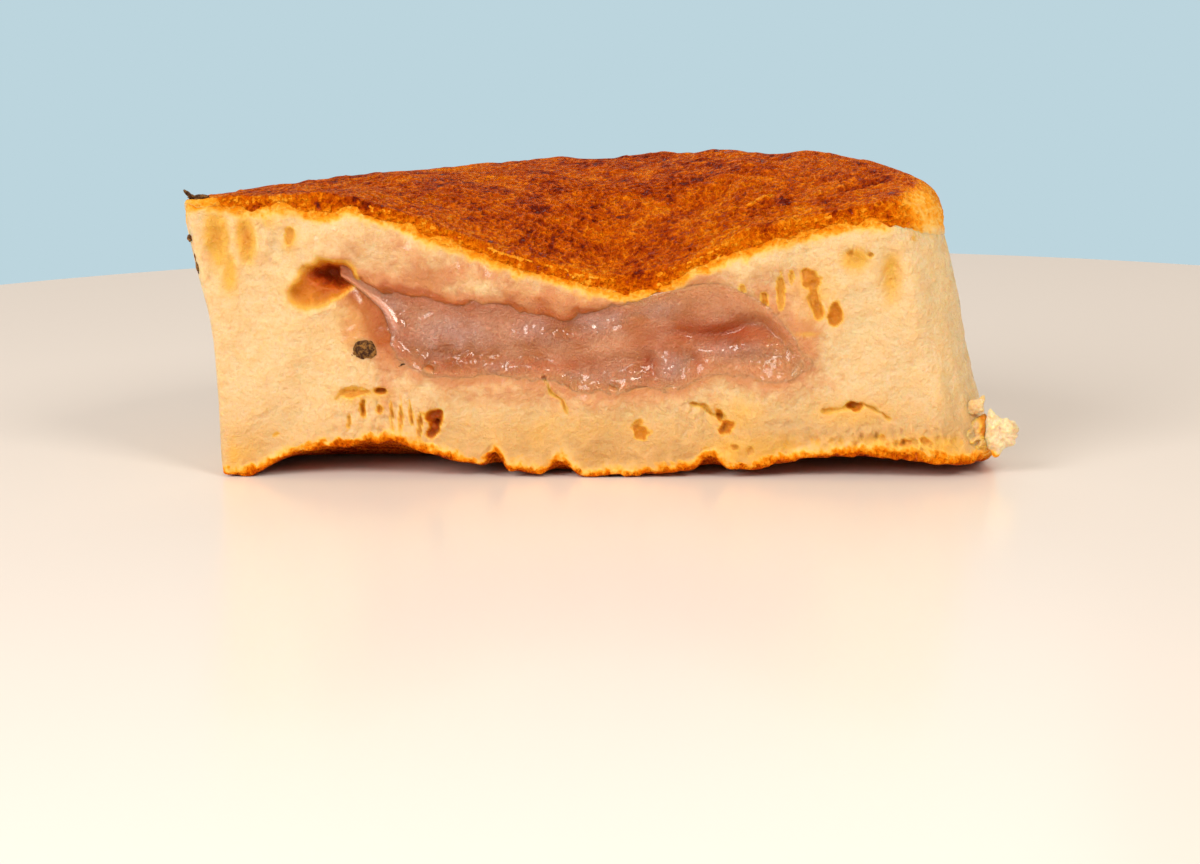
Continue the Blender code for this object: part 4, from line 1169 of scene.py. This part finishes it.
# --------------------------------------------------------------------------------------------
# Burnt bits: specks of char from the griddle that stuck in the crumb, and a black curl and beads
# on the cut's upper left corner. Each is a lumpy ball, half sunk where it stuck.
# --------------------------------------------------------------------------------------------
# Each is (x, y, height, half sizes, lean in degrees, roughness of its outline).
BURNT = [
    (-21.9, 0.45, 13.3, (1.4, 0.8, 1.25), 10.0, 0.2),
    (-23.0, 0.35, 12.9, (0.5, 0.4, 0.35), 20.0, 0.3),
    (-18.2, 0.2, 11.9, (0.45, 0.25, 0.14), -12.0, 0.4),
    (-16.8, 0.2, 12.0, (0.3, 0.2, 0.14), 0.0, 0.4),
    (-16.6, 0.1, 10.4, (0.42, 0.25, 0.14), -40.0, 0.3),
    (-14.6, 0.1, 11.0, (0.2, 0.2, 0.12), 0.0, 0.3),
    (-39.7, 0.4, 29.5, (0.8, 0.5, 0.24), 46.0, 0.45),
    (-38.7, 0.5, 29.4, (0.9, 0.45, 0.24), -4.0, 0.5),
    (-40.0, 0.5, 25.1, (0.28, 0.3, 0.35), 0.0, 0.4),
    (-39.4, 0.6, 23.6, (0.26, 0.35, 0.7), 8.0, 0.4), (-39.2, 0.6, 22.2, (0.28, 0.3, 0.7), 0.0, 0.4)]
BURNT_ROWS, BURNT_STEPS = 22, 34
CHAR_DARK, CHAR_HIGHLIGHT, CHAR_BUMP = tone(60, 30, 8), tone(150, 102, 46), 0.0004


def burnt_skin(x, y, z, half_sizes, lean, rough, seed):
    """A ball stretched to its half sizes, leant, and made uneven all round."""
    way = ball_ways(BURNT_ROWS, BURNT_STEPS)
    uneven = mottle(way[..., 0] + way[..., 1] * 0.7, way[..., 2] - way[..., 1], 0.7, seed, 2)
    grow = 1.0 + rough * uneven
    local = way * grow[..., None] * half_sizes
    turn = np.radians(lean)
    across = local[..., 0] * np.cos(turn) + local[..., 2] * np.sin(turn)
    up = local[..., 2] * np.cos(turn) - local[..., 0] * np.sin(turn)
    return np.stack([x + across, y + local[..., 1], z + up], -1), {}


def char_finish():
    """Char: near-black brown, paler on its raised grain as a painted highlight, matt, and pitted."""
    material, wire = new_finish("char")
    grain = wire.noise(0.55, 3.0, 0.7)
    # Painted highlight: paler where the grain stands out.
    colour = grain.between(0.42, 0.66).tint(CHAR_DARK, CHAR_HIGHLIGHT)
    wire.shader({"Base Color": colour, "Roughness": 0.6, "Specular IOR Level": 0.2,
                 "Normal": wire.bump(grain, CHAR_BUMP)}).show()
    return material


bits = [burnt_skin(*bit, 60.0 + number) for number, bit in enumerate(BURNT)]
burnt = closed_skin("burnt_bits", bits, char_finish())
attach(burnt, "root")
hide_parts("dough")

# --------------------------------------------------------------------------------------------
# The stage: a plain pale round floor, a pale sky, a large soft light from the front left, a
# small warm one from the front right, a weak one from behind, and a camera low in front.
# --------------------------------------------------------------------------------------------
FLOOR_RADIUS, FLOOR_DROP, FLOOR_STEPS = 0.166, 0.00005, 96
FLOOR_TONE = tone(248, 239, 232)
SKY_LOW, SKY_HIGH = tone(188, 213, 222), tone(182, 174, 164)
LIGHTS = [("key", (-0.42, -0.52, 0.40), 0.42, 4.05, (1.0, 0.96, 0.90)),
          ("fill", (0.43, -0.46, 0.46), 0.24, 2.5, (1.0, 0.93, 0.82)),
          ("back", (-0.10, 0.56, 0.46), 0.50, 0.7, (1.0, 0.97, 0.93))]
LIGHT_AIM = Vector((0.0, 0.0, 0.015))
CAMERA_AIM = Vector((-0.00006, -0.0194, 0.00484))
CAMERA_AZIMUTH, CAMERA_ELEVATION = 5.0, 11.0
CAMERA_DISTANCE, CAMERA_LENS, CAMERA_ROLL = 0.29, 84.0, 0.86

turn = np.arange(FLOOR_STEPS) / FLOOR_STEPS * 2.0 * np.pi
rim = np.stack([np.cos(turn), np.sin(turn), 0.0 * turn], -1) * FLOOR_RADIUS
floor_mesh = bpy.data.meshes.new("floor")
floor_mesh.from_pydata(rim - np.array([0.0, 0.0, FLOOR_DROP]), [], [list(range(FLOOR_STEPS))])
floor_finish, wire = new_finish("floor")
wire.shader({"Base Color": FLOOR_TONE, "Roughness": 0.22, "Specular IOR Level": 0.3}).show()
floor_mesh.materials.append(floor_finish)
floor = placed("floor", floor_mesh)

sky = bpy.data.worlds.new("sky")
sky.use_nodes = True
sky.node_tree.nodes.clear()
wire = Wire(sky.node_tree)
height = wire.part(wire.node("ShaderNodeTexCoord", {}, {}, 0), 2)
colour = height.between(-0.035, 0.01).tint(SKY_LOW, SKY_HIGH)
glow = wire.node("ShaderNodeBackground", {}, {"Color": colour, "Strength": 1.0})
wire.node("ShaderNodeOutputWorld", {}, {"Surface": glow})
bpy.context.scene.world = sky
bpy.context.scene.view_settings.view_transform = "Standard"

for name, place, size, power, colour in LIGHTS:
    light = bpy.data.lights.new(name, "AREA")
    light.size = size
    light.energy = power
    light.color = colour
    lamp = placed(name, light)
    lamp.location = place
    lamp.rotation_euler = (LIGHT_AIM - Vector(place)).to_track_quat("-Z", "Y").to_euler()

camera = placed("camera", bpy.data.cameras.new("camera"))
camera.data.lens = CAMERA_LENS
camera.data.sensor_width = 36.0
azimuth, elevation = np.radians(CAMERA_AZIMUTH), np.radians(CAMERA_ELEVATION)
level_part = np.cos(elevation)
back = Vector((np.sin(azimuth) * level_part, -np.cos(azimuth) * level_part, np.sin(elevation)))
camera.location = CAMERA_AIM + back * CAMERA_DISTANCE
roll = Quaternion((0.0, 0.0, 1.0), np.radians(-CAMERA_ROLL))
camera.rotation_euler = ((-back).to_track_quat("-Z", "Y") @ roll).to_euler()
camera.data.clip_start = 0.01
bpy.context.scene.camera = camera
